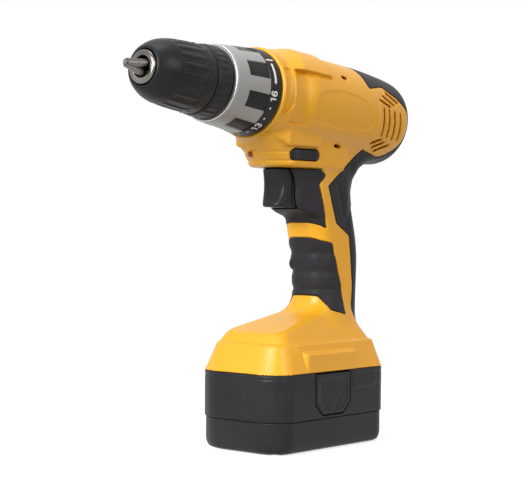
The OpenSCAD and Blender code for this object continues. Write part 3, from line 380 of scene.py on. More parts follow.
def piece(name, surface, body, look, slot_name, *nodes):
    """Makes a surface into an object that rides on a body and stands for CAD nodes."""
    points, faces, normals = surface
    mesh = bpy.data.meshes.new(name)
    mesh.from_pydata(points * MM, [], faces)
    mesh.shade_smooth()
    if normals is not None:
        mesh.normals_split_custom_set_from_vertices(normals)
    mesh.materials.append(LOOKS[look])
    obj = placed(name, mesh)
    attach(obj, body)
    if nodes:
        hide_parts(*nodes)


# ---------- materials ----------


def set_inputs(node, values):
    """Sets a node's inputs by their names."""
    for label, value in values.items():
        node.inputs[label].default_value = value


def add(tree, kind, inputs=None, operation=None):
    """A new shader node with some inputs set."""
    made = tree.nodes.new("ShaderNode" + kind)
    if operation:
        made.operation = operation
    set_inputs(made, inputs or {})
    return made


def wire(tree, *joins):
    """Links nodes. Each join is a node, its output, another node and its input."""
    for source, output, target, label in joins:
        tree.links.new(source.outputs[output], target.inputs[label])


def group(name, inputs):
    """An empty node group that takes numbers and makes a Mask and a Normal."""
    tree = bpy.data.node_groups.new(name, "ShaderNodeTree")
    for label, value in inputs.items():
        number = tree.interface.new_socket(name=label, in_out="INPUT",
                                           socket_type="NodeSocketFloat")
        number.default_value = value
    for label, kind in (("Mask", "Float"), ("Normal", "Vector")):
        tree.interface.new_socket(name=label, in_out="OUTPUT", socket_type="NodeSocket" + kind)
    return tree, tree.nodes.new("NodeGroupInput"), tree.nodes.new("NodeGroupOutput")


def moulding_texture():
    """Spark-eroded grain of moulded plastic with a little waviness. Mask is a broad mottling
    for colour and gloss, and Normal carries the grain."""
    tree, given, made = group("moulding_texture",
                              {"Grain scale": 1800.0, "Grain depth": 0.2, "Wave depth": 0.1})
    where = add(tree, "TexCoord")
    wave = add(tree, "TexNoise", {"Scale": 60.0, "Detail": 2.0})
    mottle = add(tree, "TexNoise", {"Scale": 22.0, "Detail": 4.0})
    grain = add(tree, "TexNoise", {"Detail": 3.0})
    broad, fine = (add(tree, "Bump", {"Distance": depth}) for depth in (0.0008, 0.00012))
    for noise in (wave, mottle, grain):
        wire(tree, (where, "Object", noise, "Vector"))
    wire(tree, (given, "Grain scale", grain, "Scale"),
         (given, "Wave depth", broad, "Strength"), (wave, "Fac", broad, "Height"),
         (given, "Grain depth", fine, "Strength"), (grain, "Fac", fine, "Height"),
         (broad, "Normal", fine, "Normal"),
         (mottle, "Fac", made, "Mask"), (fine, "Normal", made, "Normal"))
    return tree


def turning_marks():
    """Fine rings left by a lathe, round the spindle. Mask is their light and dark, Normal their
    relief."""
    tree, given, made = group("turning_marks", {"Ring depth": 0.15})
    where = add(tree, "TexCoord")
    turn = add(tree, "Mapping", {"Rotation": (0.0, -TILT, 0.0), "Scale": (3000.0, 30.0, 30.0)})
    rings = add(tree, "TexNoise", {"Scale": 1.0, "Detail": 2.0})
    bump = add(tree, "Bump", {"Distance": 0.00008})
    wire(tree, (where, "Object", turn, "Vector"), (turn, "Vector", rings, "Vector"),
         (given, "Ring depth", bump, "Strength"), (rings, "Fac", bump, "Height"),
         (rings, "Fac", made, "Mask"), (bump, "Normal", made, "Normal"))
    return tree


MOULDING = moulding_texture()
TURNING = turning_marks()


def shader(name, texture_group, colours, roughness, settings, levels):
    """A material whose colour and roughness run between two values along a group's mask."""
    material = bpy.data.materials.new(name)
    material.use_nodes = True
    tree = material.node_tree
    skin = tree.nodes["Principled BSDF"]
    set_inputs(skin, settings)
    texture = add(tree, "Group")
    texture.node_tree = texture_group
    set_inputs(texture, levels)
    tint = add(tree, "Mix")
    tint.data_type = "RGBA"
    for socket, colour in zip([s for s in tint.inputs if s.type == "RGBA"], colours):
        socket.default_value = (*colour, 1)
    tinted = [s for s in tint.outputs if s.type == "RGBA"][0]
    spread, gloss = (add(tree, "MapRange", {"From Min": 0.35, "From Max": 0.65}) for _ in range(2))
    set_inputs(gloss, {"To Min": roughness[0], "To Max": roughness[1]})
    wire(tree, (texture, "Mask", spread, "Value"), (spread, "Result", tint, "Factor"),
         (texture, "Mask", gloss, "Value"), (gloss, "Result", skin, "Roughness"),
         (texture, "Normal", skin, "Normal"))
    tree.links.new(tinted, skin.inputs["Base Color"])
    return material


# Each plastic: two colours, the range of its roughness, then the scale and depth of its grain
# and the depth of its waviness.
GLOSSY, DULL = {}, {"Specular IOR Level": 0.14}
PLAIN = (1800, 0.2, 0.1)
PLASTICS = {
    "body_yellow": ((0.81, 0.38, 0.009), (0.85, 0.405, 0.012), (0.33, 0.4),
                    (2400, 0.12, 0.12), GLOSSY),
    "overmould_black": ((0.019, 0.018, 0.021), (0.027, 0.026, 0.03), (0.44, 0.54),
                        (1500, 0.35, 0.15), DULL),
    "case_black": ((0.018, 0.0175, 0.0195), (0.025, 0.0245, 0.027), (0.34, 0.42),
                   (1300, 0.3, 0.1), DULL),
    "chuck_black": ((0.013, 0.013, 0.014), (0.02, 0.02, 0.022), (0.32, 0.4),
                    (1900, 0.2, 0.1), DULL),
    "trigger_black": ((0.014, 0.014, 0.015), (0.021, 0.021, 0.022), (0.28, 0.36),
                      (2000, 0.18, 0.1), DULL),
    "collar_grey": ((0.32, 0.32, 0.31), (0.37, 0.37, 0.36), (0.3, 0.38), (2000, 0.15, 0.1), GLOSSY),
    "dial_white": ((0.78, 0.78, 0.76), (0.86, 0.86, 0.85), (0.4, 0.5), PLAIN, GLOSSY),
    "lamp_red": ((0.25, 0.015, 0.01), (0.36, 0.03, 0.015), (0.15, 0.22), PLAIN, GLOSSY),
    "wire_cover": ((0.16, 0.012, 0.01), (0.24, 0.02, 0.014), (0.35, 0.45), PLAIN, GLOSSY),
    "cell_wrap": ((0.03, 0.1, 0.17), (0.045, 0.14, 0.22), (0.22, 0.32), (600, 0.1, 0.2), GLOSSY),
    "magnet": ((0.035, 0.035, 0.037), (0.055, 0.055, 0.057), (0.45, 0.6), PLAIN,
               {"Metallic": 0.6}),
}
# Each metal: two colours, the range of its roughness and the depth of its rings.
METALS = {
    "nose_steel": ((0.16, 0.145, 0.135), (0.25, 0.23, 0.215), (0.2, 0.3), 0.03),
    "jaw_steel": ((0.13, 0.125, 0.115), (0.2, 0.195, 0.18), (0.26, 0.36), 0.0),
    "gear_steel": ((0.42, 0.42, 0.43), (0.56, 0.56, 0.57), (0.28, 0.42), 0.15),
    "zinc_steel": ((0.5, 0.5, 0.49), (0.66, 0.66, 0.64), (0.3, 0.45), 0.1),
    "screw_steel": ((0.06, 0.06, 0.062), (0.1, 0.1, 0.1), (0.3, 0.42), 0.05),
    "brass": ((0.62, 0.42, 0.14), (0.78, 0.56, 0.22), (0.22, 0.36), 0.1),
    "copper": ((0.55, 0.24, 0.11), (0.72, 0.34, 0.17), (0.28, 0.42), 0.1),
}
LOOKS = {}
for name, (dark, light, roughness, (scale, depth, waves), settings) in PLASTICS.items():
    LOOKS[name] = shader(name, MOULDING, (dark, light), roughness, settings,
                         {"Grain scale": scale, "Grain depth": depth, "Wave depth": waves})
for name, (dark, light, roughness, rings) in METALS.items():
    LOOKS[name] = shader(name, TURNING, (dark, light), roughness, {"Metallic": 1.0},
                         {"Ring depth": rings})

# ---------- the clamshell ----------

# Outlines on the side of the head, as (a, v).
LABEL_RECESS = [(30, -14.5), (30, 1.5), (36, 4.9), (45, 7.3), (57, 8.8), (70, 7.9), (78, 6.0),
                (84, 2.0), (88, -1.5), (90, -5), (90, -9), (85, -12), (76, -14.6), (60, -15.4),
                (40, -15)]
LOWER_SHOULDER = [(6, -23.5), (11, -19.6), (17, -19), (23, -20.8), (45, -21.3), (47.5, -23.5),
                  (46.5, -28.2), (17, -30.8), (10, -27)]
VENT_FRAME = [(92.5, -19), (94, 7), (103, 15.5), (112, 13), (121.5, 5.5), (123.5, -13), (115, -18),
              (101, -22.3)]
UPRIGHT_VENTS = [((98.6, 3.4), (101.2, -13.2)), ((104.8, 3.4), (107.4, -13.4)),
                 ((111.2, 3.2), (113.9, -13.6)), ((118.2, 2.8), (120.6, -13.2))]
UPPER_VENTS = [((94.6, 8.9), (106.4, 6.0)), ((98.8, 12.2), (111.6, 7.6)),
               ((103.6, 15.2), (116.2, 9.8))]
LOWER_VENTS = [((94.8, -19.1), (103.2, -15.3)), ((98.6, -21.0), (107.8, -16.7)),
               ((103.2, -22.6), (114.2, -17.6))]
VENTS = [(0.95, UPRIGHT_VENTS), (0.7, UPPER_VENTS), (0.8, LOWER_VENTS)]
SIDE_SLOTS = [((59.2, 17.9), (63.4, 17.5)), ((62.6, -24.6), (67.4, -25.0))]

# Side of the trigger guard, (x, z).
GUARD = [(10, 144.5), (2.0, 145), (-4.6, 146.6), (-8.8, 148.4), (-11.6, 151.8), (-12.4, 156.5),
         (-12.2, 162), (-13.2, 167.5), (-16.0, 171.5), (-18.5, 175.5), (10, 175.5)]

# Edge of the rear rubber: round the back of the barrel, the notch, and down the handle, (x, z).
REAR_RUBBER = [side_place(a, v) for a, v in (
    (83.5, 60), (83.5, 30), (84.3, 19), (84.7, 16.2), (86.6, 15.0), (90.5, 16.0), (96.7, 17.5),
    (102.4, 18.5), (105.7, 17.1), (110.4, 15.2), (114.8, 13.9), (118.3, 12.0), (121.8, 10.2),
    (124.8, 8.0), (127.2, 5.0), (128.3, 1), (128.5, -5), (128.1, -10), (127.0, -14), (125.0, -17.6),
    (122.8, -19.8), (120.2, -21.8), (117.7, -23.4), (113.8, -25.1), (108.5, -25.6),
    (101.4, -24.7), (94.6, -24), (91.3, -23.3))] + [
    (36.5, 180.8), (13.6, 163.4), (21.9, 139.9), (35.0, 132.3), (39.4, 100.2), (38.8, 90.0),
    (38.4, 84.3), (40.5, 79.6), (44.0, 77.0), (70.0, 75.0), (120.0, 100.0), (120.0, 285.0)]
UPPER_GRIP = [(-30, 173.9), (4.6, 173.9), (10.6, 169.8), (4.9, 164.4), (13.0, 136.4),
              (8.5, 138.6), (4.0, 140.3), (-30, 141.3)]
LOWER_GRIP = [(-30, 132.3), (4, 132.0), (10.5, 129.0), (18.2, 127.2), (20.9, 119.7),
              (27.8, 100.5), (29.2, 90), (29.4, 81.7), (15.4, 84.9), (11.8, 93.4), (8, 94.5),
              (-30, 94.7)]
RUBBER_EDGES = [REAR_RUBBER, UPPER_GRIP, LOWER_GRIP]


def barrel_radius(a):
    """Radius of the barrel along the head."""
    return eased(a, [-3, 0.5, 5, 10, 17, 28, 45, 70, 91, 100, 110, 120, 128, 136],
                 [27.4, 27.9, 28.7, 29.5, 30.2, 30.7, 30.9, 31.0, 30.8, 30.4, 29.8, 29.0, 27.9,
                  26.2])


def barrel(x, y, z):
    """Round body on the spindle's axis: distance from the axis less the radius at that place,
    ended by a plane across the front and a rounded one at the rear."""
    a, v = to_head(x, z)
    side = np.hypot(y, v) - barrel_radius(a)
    return trimmed(side, (a - BARREL_REAR_A, 7.6), (0.55 - a, 0.9))


def nosed_plan(x, y, front, half_w, r):
    """Distance to a plan with round corners in front and no end behind."""
    return np.hypot(np.maximum(front + r - x, 0), np.maximum(np.abs(y) - (half_w - r), 0)) - r


def chin(x, y, z):
    """Trigger housing: a half-round nose that slopes back towards its flat floor."""
    front = np.maximum(-31.0 - (z - CHIN_FLOOR_Z) * 0.735, -43.5)
    side = nosed_plan(x, y, front, CHIN_HALF_W, CHIN_NOSE_R)
    return highest(soft_max(side, CHIN_FLOOR_Z - z, 3.0), x - 26, z - 212)


def web(x, y, z):
    """Flare between the handle and the underside of the barrel."""
    side = [(2, 150), (42.4, 150), (42.8, 160), (44.4, 167.5), (49.5, 174.5), (58, 180.0),
            (70, 184.5), (78, 190), (78, 205), (2, 205)]
    half = 15.2 + 2.0 * ramp((z - 166) / 20)
    return soft_max(outline(x, z, side), np.abs(y) - half, 9.0)


def handle(x, y, z):
    """Handle: a rounded rectangle in plan whose front, back and width change with height."""
    heights = [80, 89, 95, 107, 120, 132, 140, 150, 160, 172, 186]
    front = eased(z, heights, [9.4, 9.7, 9.9, 9.4, 8.1, 5.6, 3.7, 1.9, 0.8, -0.4, -2.0])
    back = eased(z, heights, [50.2, 50.3, 50.5, 50.8, 50.6, 48.9, 46.9, 44.4, 42.6, 42.0, 42.0])
    half = eased(z, heights, [16.2, 16.1, 16.1, 16.3, 16.5, 16.5, 16.5, 16.4, 16.3, 16.2, 16.0])
    side = rounded_plan(x - (front + back) / 2, y, (back - front) / 2, half, 12.0)
    return trimmed(side, (z - 188, 2), (70 - z, 2))


# Flats that slope back at each front end of the pack, the outer one first: which way they face,
# a place on them, as (x, y) to the right, and how softly they meet their neighbours.
FRONT_FLATS = [((-0.581, 0.814), (-50.6, 30.0), 3.5), ((-0.906, 0.424), (-PACK_L / 2, 20.6), 2.5)]


def pack_plan(x, y):
    """Outline of the pack seen from above: a rectangle with round corners, whose front ends slope
    back in two flats on each side."""
    plan = rounded_plan(np.maximum(x, 0.0), y, PACK_L / 2, PACK_W / 2, PACK_CORNER_R)
    plan = soft_max(plan, -x - PACK_L / 2, 1.0)
    for (face_x, face_y), (flat_x, flat_y), softness in FRONT_FLATS:
        flat = face_x * (x - flat_x) + face_y * (np.abs(y) - flat_y)
        plan = soft_max(plan, flat, softness)
    return plan


def foot(x, y, z):
    """Foot over the pack: a band that leans in, a ledge, a second band that leans in more, and a
    roof that rises gently to the handle. A low swelling on each side holds the latch."""
    up = z - PACK_H
    lean = np.interp(x, [-52, -30, 25, 52], [0.46, 0.31, 0.31, 0.39])
    plan = pack_plan(x, y)
    band = soft_max((plan + lean * up) * 0.95, z - LEDGE_Z, 1.2)
    rise = np.maximum(z - LEDGE_Z, 0)
    second = rounded_plan(x - 1.6, y, 46.8 - 0.45 * rise, 27.1 - 0.6 * rise, 9.0)
    second = soft_max(second, np.hypot(x - 94.0, y) - 139.2 + 0.45 * rise, 1.2) * 0.88
    roof = soft_max(second, (z - 72.0 - 0.225 * (x + 44.0)) * 0.976, 2.4)
    width = 25.5 - 0.5 * np.maximum(np.abs(y) - 31.5, 0)
    swell = trimmed(np.abs(x - LATCH_X) - width, (z - 61.2 + 0.3 * (np.abs(y) - 30), 1.4),
                    (plan + 0.25, 1.4))
    return soft_max(soft_min(soft_min(band, roof, 1.0), swell, 0.7), PACK_H + 0.02 - z, 0.3)


def trigger_guard(x, y, z):
    """Cheeks either side of the trigger: the top of the handle carried forward under the chin,
    with a front edge that curves in round the finger."""
    side = outline(x, z, GUARD)
    half = 12.6 + 0.19 * np.clip(x + 12, 0, 20)
    return soft_max(side, np.abs(y) - half, 3.4)


def plain_shell(x, y, z):
    """The clamshell's outside without its small reliefs: barrel, chin, web, handle and foot
    blended into one."""
    grip = soft_min(handle(x, y, z), foot(x, y, z), 10.0 - 5.0 * ramp((x - 22) / 20))
    head = soft_min(barrel(x, y, z), chin(x, y, z), 3.0)
    head = soft_min(head, web(x, y, z), 5.0)
    grip = soft_min(grip, trigger_guard(x, y, z), 3.5)
    return soft_max(soft_min(head, grip, 2.0), z - TOP_Z, 1.0)


def shell_relief(x, y, z):
    """How far the yellow surface lies inside (above zero) or outside the plain shell: the label
    panel, the shelf and boss at the barrel's front with the groove between them, the rim behind
    the collar, the frame of the vents and the ribs of the chin."""
    a, v = to_head(x, z)
    on_side = ramp((np.abs(y) - 12) / 4)
    label = 0.5 * ramp(-outline(a, v, LABEL_RECESS) / 0.9) * on_side
    steps = eased(a, [0.5, 2.6, 4.6, 9.2, 10.8, 12.2, 13.8, 19.5, 21.5, 27, 31, 34],
                  [0, 0, 1.35, 1.5, 0.7, 0.8, 1.5, 1.9, 1.75, 0.6, 0.08, 0])
    foot_line = np.where(a < 11, 14.5 - 1.2 * np.clip(a - 5, 0, 6), 18.8)
    shelf = 1.3 * steps * within(v, -foot_line, 15.6, 1.6, 1.3) * ramp(a / 2)
    climb = np.clip((a - 8.5 - 0.4 * (v - 15)) / 10, 0, 1)
    facet = ramp((v - 14.5) / 1.5) * ramp((a - 2.6) / 2) * (1 - ramp((a - 46) / 2))
    boss = facet * (1.6 - 3.0 * climb) * ramp((47 - a) / 1.5) * (1 - ramp((2 - np.abs(y)) / 3))
    groove = 0.8 * within(v, 12.6, 16.2, 1.8, 1.2) * within(a, 14, 49, 3, 3)
    rim = -0.2 * ramp((3.4 - a) / 1.2)
    vent_frame = -0.35 * ramp(1 - np.abs(outline(a, v, VENT_FRAME)) / 1.2) * on_side
    ribbed = ramp((-22 - x) / 3) * within(z, 173, 190, 1, 2)
    ribs = ribbed * (0.55 * hump((z - 183.2) / 0.8) + 0.6 * hump((z - 178.0) / 0.7)
                     - 0.5 * hump((z - 175.6) / 1.2))
    return label + shelf + boss + groove + rim + vent_frame + ribs


def lower_shoulder(x, y, z):
    """Ledge along the bottom of the barrel over the direction selector."""
    a, v = to_head(x, z)
    half = 21.9 - 0.75 * np.maximum(16 - a, 0)
    return soft_max(outline(a, v, LOWER_SHOULDER), np.abs(y) - half, 1.6)


def slots(a, v, rows):
    """Round-ended slots: each row is a half width and the (start, end) of its slots."""
    return lowest(*(slot(a, v, start, end, half) for half, ends in rows for start, end in ends))


def rubber_outline(x, z, edges):
    """Distance to several closed outlines together."""
    return lowest(*(outline(x, z, edge) for edge in edges))


def selector_plan(x, z, r):
    """Distance to the selector's outline, whose round ends have a radius r."""
    half = SELECTOR_L / 2 - SELECTOR_H / 2
    return slot(x, z, (SELECTOR_X - half, SELECTOR_Z), (SELECTOR_X + half, SELECTOR_Z), r)


def control_openings(x, y, z):
    """Mouths of the trigger and the direction selector."""
    mouth = box(x, y, z, (-30, -TRIGGER_HALF_W - 0.4, TRIGGER_LOW_Z - 0.4),
                (8.5, TRIGGER_HALF_W + 0.4, CHIN_FLOOR_Z + 0.02))
    return np.minimum(mouth, selector_plan(x, z, SELECTOR_H / 2 + 0.35))


def screw_bosses(x, y, z):
    """Low round bosses that take the screw heads where the right half's skin curves away."""
    return soft_max(rods(x, z, SCREW_PLACES, 4.1), np.abs(y - 9.0) - 3.6, 1.2)


def screw_wells(x, y, z):
    """Wells in the right half, down to the screw heads."""
    return np.maximum(rods(x, z, SCREW_PLACES, SCREW_WELL_R), SCREW_Y - y)


def half_shell(side):
    """One half of the clamshell: its outside, less a hollow one wall thickness in, the seat of
    the gear case, the openings, the beds of the rubber and everything over the middle."""
    def field(x, y, z):
        a, v = to_head(x, z)
        from_axis = np.hypot(y, v)
        plain = plain_shell(x, y, z)
        skin = soft_min(plain + shell_relief(x, y, z), lower_shoulder(x, y, z), 1.4)
        if side == RIGHT:
            skin = soft_min(skin, screw_bosses(x, y, z), 0.8)
        skin = soft_max(skin, z - TOP_Z, 0.6)
        hollow = lowest(plain + WALL + 1.3 * ramp((38 - a) / 4),
                        np.maximum(from_axis - CASE_BORE_R, a - 60),
                        np.maximum(pack_plan(x, y) + WALL, np.abs(z - PACK_H) - 3))
        tubes = highest(rods(x, z, SCREW_PLACES, SCREW_BOSS_R), plain + 2.0,
                        CASE_BORE_R - from_axis)
        body = np.minimum(np.maximum(skin, -hollow), tubes)
        bed = np.maximum(rubber_outline(x, z, RUBBER_EDGES), -(plain + RUBBER_T))
        shallow = np.maximum(slots(a, v, [(1.05, SIDE_SLOTS)]), -(plain + 6.0))
        body = trimmed(body, (-bed, 0.7), (-control_openings(x, y, z), 0.7), (-shallow, 0.6),
                       (-np.maximum(slots(a, v, VENTS), 12 - np.abs(y)), 0.8))
        if side == RIGHT:
            bore = np.maximum(rods(x, z, SCREW_PLACES, 1.8), y - SCREW_Y - 1)
            return highest(body, -screw_wells(x, y, z), -bore)
        return np.maximum(body, -np.maximum(rods(x, z, SCREW_PLACES, 1.6), -8.4 - y))
    return field


def folds(x, y, z):
    """Soft shapes in the rubber: grooves across the lower grip's front, and long folds down the
    upper part of the back."""
    grooves = 0.9 * (0.5 - 0.5 * np.cos((z - 115.3) * 2 * math.pi / 12.0)) ** 2
    front = ramp((30 - x) / 14) * within(z, 95, 131, 3, 3)
    long_fold = x - (34.5 + 0.35 * (z - 150) + 2.0 * np.sin((z - 132) / 9))
    short_fold = x - (27.5 - 0.3 * (z - 150))
    return (grooves * front + 0.55 * hump(long_fold / 2.4) * within(z, 134, 172, 6, 10)
            + 0.4 * hump(short_fold / 2.0) * within(z, 140, 168, 6, 8))


def rubber(side, edges):
    """Rubber laid in its bed: the shell's skin, a little proud, cut to its outline with round
    edges."""
    def field(x, y, z):
        plain = plain_shell(x, y, z)
        edge = rubber_outline(x, z, edges)
        over = plain - 0.12 + folds(x, y, z)
        if side == RIGHT:
            over = soft_min(over, screw_bosses(x, y, z), 0.6)
        layer = np.maximum(soft_max(over, edge + 0.12, 0.9), -(plain + RUBBER_T - 0.05))
        layer = trimmed(layer, (-control_openings(x, y, z), 0.6), (z - TOP_Z, 0.4))
        if side == RIGHT:
            layer = np.maximum(layer, -screw_wells(x, y, z))
        return layer
    return field


SHELL_CELL = 0.85
RUBBER_CELL = 0.7
for side, name in SIDES:
    low_y, high_y = sorted((0.0, 35.0 * side))
    piece(name + "_shell",
          moulded(half_shell(side), (-56, low_y, 48), (91, high_y, 248.4), SHELL_CELL, side),
          "drill", "body_yellow", "yellow_plastic", name + "_housing")
    for kind, node_name, edges, low, high in (
            ("_back_overmould", "_back_rubber", RUBBER_EDGES[:1],
             (10, low_y, 76), (91, high_y, 248.4)),
            ("_grip_overmould", "_grip", RUBBER_EDGES[1:],
             (-21, low_y, 80), (36, high_y, 175))):
        piece(name + kind, moulded(rubber(side, edges), low, high, RUBBER_CELL, side),
              "drill", "overmould_black", "black_rubber", name + node_name)


def work_lamp(x, y, z):
    """Small round lens let into the chin's front."""
    a, b, c = x + 37.2, y - 5.5, z - 181.8
    along = -a * 0.806 - c * 0.592
    return soft_max(np.sqrt(np.maximum((a * a + b * b + c * c) - along * along, 0)) - 1.7,
                    np.abs(along) - 0.9, 0.5)


piece("work_lamp", moulded(work_lamp, (-41, 2, 178), (-34, 9, 186), 0.3), "drill", "lamp_red",
      "black_plastic")

# ---------- chuck ----------

SLEEVE_FLUTES, RING_FLUTES = 20, 30
DOME_A = -54.6


def sleeve_relief(a, angle, r):
    """Shallow flutes with pointed fronts, and a small dome behind each, on the outside only."""
    outside = ramp((r - 15.5) / 1.0)
    wave = 0.5 + 0.5 * np.cos(angle * SLEEVE_FLUTES)
    reach = ramp((a + 80.5 - 4.0 * wave) / 3.0) * ramp((-57.6 - a) / 1.6)
    across = (((angle * SLEEVE_FLUTES / math.pi) % 2) - 1) * 3.2
    dome = ramp((1.3 - np.hypot(a - DOME_A, across)) / 1.1)
    return outside * (0.6 * reach * ramp(wave * 1.3) - 0.4 * dome)


sleeve_profile = softened_loop([(-81.9, 16.46), (-86.2, 12.8), (-89.9, 10.5), (-90.7, 10.7),
                                (-90.9, 11.4), (-90.2, 12.6), (-88.2, 14.3), (-85.6, 15.9),
                                (-82.6, 17.4), (-79, 18.5), (-75.3, 19.2), (-70, 19.75),
                                (-62.3, 20.25), (-54, 20.5), (-50.0, 20.6), (-50.0, 16.46)], 0.3, 3)
sleeve_profile = thinned(sleeve_profile, lambda a, r: (r > 17) & (np.abs(a - DOME_A) < 1.6), 3)
piece("chuck_grip_sleeve", turned(sleeve_profile, 34 * SLEEVE_FLUTES, sleeve_relief), "chuck_sleeve",
      "chuck_black", "black_plastic", "chuck_sleeve")


def ring_relief(a, angle, r):
    """Shallow flutes round the rear ring."""
    wave = 0.5 + 0.5 * np.cos(angle * RING_FLUTES)
    return 0.4 * wave * ramp((r - 19.5) / 0.8) * within(a, -48.0, -40.0, 1.5, 1.5)


ring_profile = softened_loop([(-49.6, 18.4), (-49.6, 20.5), (-48.9, 21.0), (-46.5, 21.6),
                              (-41, 21.8), (-38.6, 21.8), (CHUCK_REAR_A, 21.2),
                              (CHUCK_REAR_A, 18.4)], 0.35, 2)
piece("chuck_rear_ring", turned(ring_profile, 576, ring_relief), "spindle", "chuck_black",
      "black_plastic", "chuck_ring")


def chuck_core(a, y, v):
    """Steel core: a turned outline with a rounded nose, less the mouth and three leaning jaw
    bores."""
    r = np.hypot(y, v)
    core = outline(a, r, [(CHUCK_NOSE_A, -1), (CHUCK_NOSE_A, 10.1), (-89.4, 10.1), (-85.9, 12.4),
                          (-81.5, 16.3), (-49.5, 16.4), (-49.5, 18.3), (CHUCK_REAR_A, 18.3),
                          (CHUCK_REAR_A, -1)])
    core = soft_max(core, (r - 9.4 - (a + 91.7)) * 0.707 - 0.35, 1.0)
    mouth = np.maximum(r - CHUCK_MOUTH_R, a + 60.0)
    bores = []
    for turn in (0, 2 * math.pi / 3, 4 * math.pi / 3):
        ahead = a - (CHUCK_NOSE_A - JAW_REACH)
        along = (ahead * math.cos(JAW_LEAN) + y * math.sin(JAW_LEAN) * math.sin(turn)
                 - v * math.sin(JAW_LEAN) * math.cos(turn))
        bores.append(np.sqrt(np.maximum(ahead**2 + y**2 + v**2 - along**2, 0)) - JAW_BORE_R)
    bores = np.maximum(lowest(*bores), a + 40.0)
    spindle = np.maximum(r - CHUCK_MOUTH_R, -70.0 - a)
    return np.maximum(trimmed(core, (-mouth, 1.0), (-bores, 0.5)), -spindle)


def placed_on_head(surface):
    """Stands a surface made in (a, y, v) in the model's own axes."""
    points, faces, normals = surface
    turn = np.array([[math.cos(TILT), 0, math.sin(TILT)], [0, 1, 0],
                     [-math.sin(TILT), 0, math.cos(TILT)]])
    return points @ turn.T + np.array([HEAD_X, 0, HEAD_Z]), faces, normals @ turn.T


piece("chuck_steel_core",
      placed_on_head(moulded(chuck_core, (-93, -19, -19), (-37.5, 19, 19), 0.6)),
      "spindle", "nose_steel", "chuck_steel", "chuck_body")

# ---------- torque collar ----------

RECESS_PITCH = math.radians(45.0)
RECESS_HALF_W = math.radians(12.1)
RECESS_ANGLE = math.radians(23.8)
RECESS_FRONT_A = -26.0
COLLAR_SIDES = 1152


def collar_radius(a):
    """Radius of the collar's ribs, which widens towards the rear."""
    return 23.4 + 3.6 * (a - COLLAR_FRONT_A) / 36.0


def near_recess_front(a, r):
    """Where rows stay close together, outside the collar's bore."""
    return (r > 21) & (np.abs(a - RECESS_FRONT_A - 0.3) < 0.6)


def in_recess(a, angle):
    """1 inside a grip recess, 0 on the ribs between, with steep sides."""
    off = np.abs((angle - RECESS_ANGLE + RECESS_PITCH / 2) % RECESS_PITCH - RECESS_PITCH / 2)
    return ramp((RECESS_HALF_W - off) / 0.014) * ramp((a - RECESS_FRONT_A) / 0.5)


band_profile = softened_loop([(-34.4, 20.1), (-34.4, 21.7), (-9.9, 24.35), (COLLAR_BAND_A, 25.4),
                              (-9.2, 26.1), (-0.9, 26.95), (COLLAR_REAR_A, 26.6),
                              (COLLAR_REAR_A, 24.1), (-7.2, 24.1), (-7.2, 20.1)], 0.3, 1)


def band_relief(a, angle, r):
    """Fills the grip recesses nearly up to the ribs, with a shallow dish."""
    outside = ramp((r - 21.0) / 0.5) * ramp((COLLAR_BAND_A - a) / 0.6)
    return -outside * in_recess(a, angle) * (collar_radius(a) - r - 0.75)


piece("number_ring", turned(thinned(band_profile, near_recess_front, 6), COLLAR_SIDES, band_relief),
      "torque_collar", "case_black", "black_plastic", "torque_collar")


def ribs_relief(a, angle, r):
    """Ribs of the grey grip: the outside sinks below the black ring in each recess."""
    outside = ramp((r - collar_radius(a) + 1.3) / 0.4)
    return outside * in_recess(a, angle) * 1.62


grip_profile = softened_loop([(COLLAR_FRONT_A, 20.1), (COLLAR_FRONT_A, 22.5), (-36.0, 23.3),
                              (-35.4, 23.5), (-20, 25.04), (-9.5, 26.09), (-9.5, 24.5),
                              (-34.38, 21.75), (-34.38, 20.1)], 0.3, 1)
piece("collar_ribs", turned(thinned(grip_profile, near_recess_front, 6), COLLAR_SIDES, ribs_relief),
      "torque_collar", "collar_grey", "grey_plastic", "collar_grip")


bead = np.linspace(0, 2 * math.pi, 20, endpoint=False)
lip_profile = np.stack([-36.15 + 0.45 * np.cos(bead), 22.7 + 0.45 * np.sin(bead)], axis=1)
piece("collar_front_lip", turned(lip_profile, 720), "torque_collar", "zinc_steel", "zinc_steel")

MARK_R = 26.6


def stroke(path, half_width):
    """A painted line on the number ring: a flat oval section carried along a path of
    (degrees, a), which narrows to almost nothing at each end, then wrapped on the ring."""
    flat_path = [(math.radians(degrees) * MARK_R, a) for degrees, a in path]
    line = resampled(flat_path, lambda length: max(int(length / 0.25), 2) + 1)
    way = np.gradient(line, axis=0)
    way /= np.linalg.norm(way, axis=1)[:, None]
    line = np.concatenate([line[:1] - half_width * way[:1], line,
                           line[-1:] + half_width * way[-1:]])
    way = np.concatenate([way[:1], way, way[-1:]])
    size = np.full(len(line), half_width)
    size[[0, -1]] = 0.02
    turn = np.linspace(0, 2 * math.pi, 10, endpoint=False)
    across = np.stack([-way[:, 1], way[:, 0]], axis=1)
    flat = line[:, None] + across[:, None] * (size[:, None] * np.cos(turn))[..., None]
    r = collar_radius(flat[..., 1]) + 0.02 + 0.1 * np.sin(turn)[None]
    points = round_spindle(flat[..., 1], r, flat[..., 0] / MARK_R)
    return points, facing_out(points, ring_faces(len(line), len(turn), False))


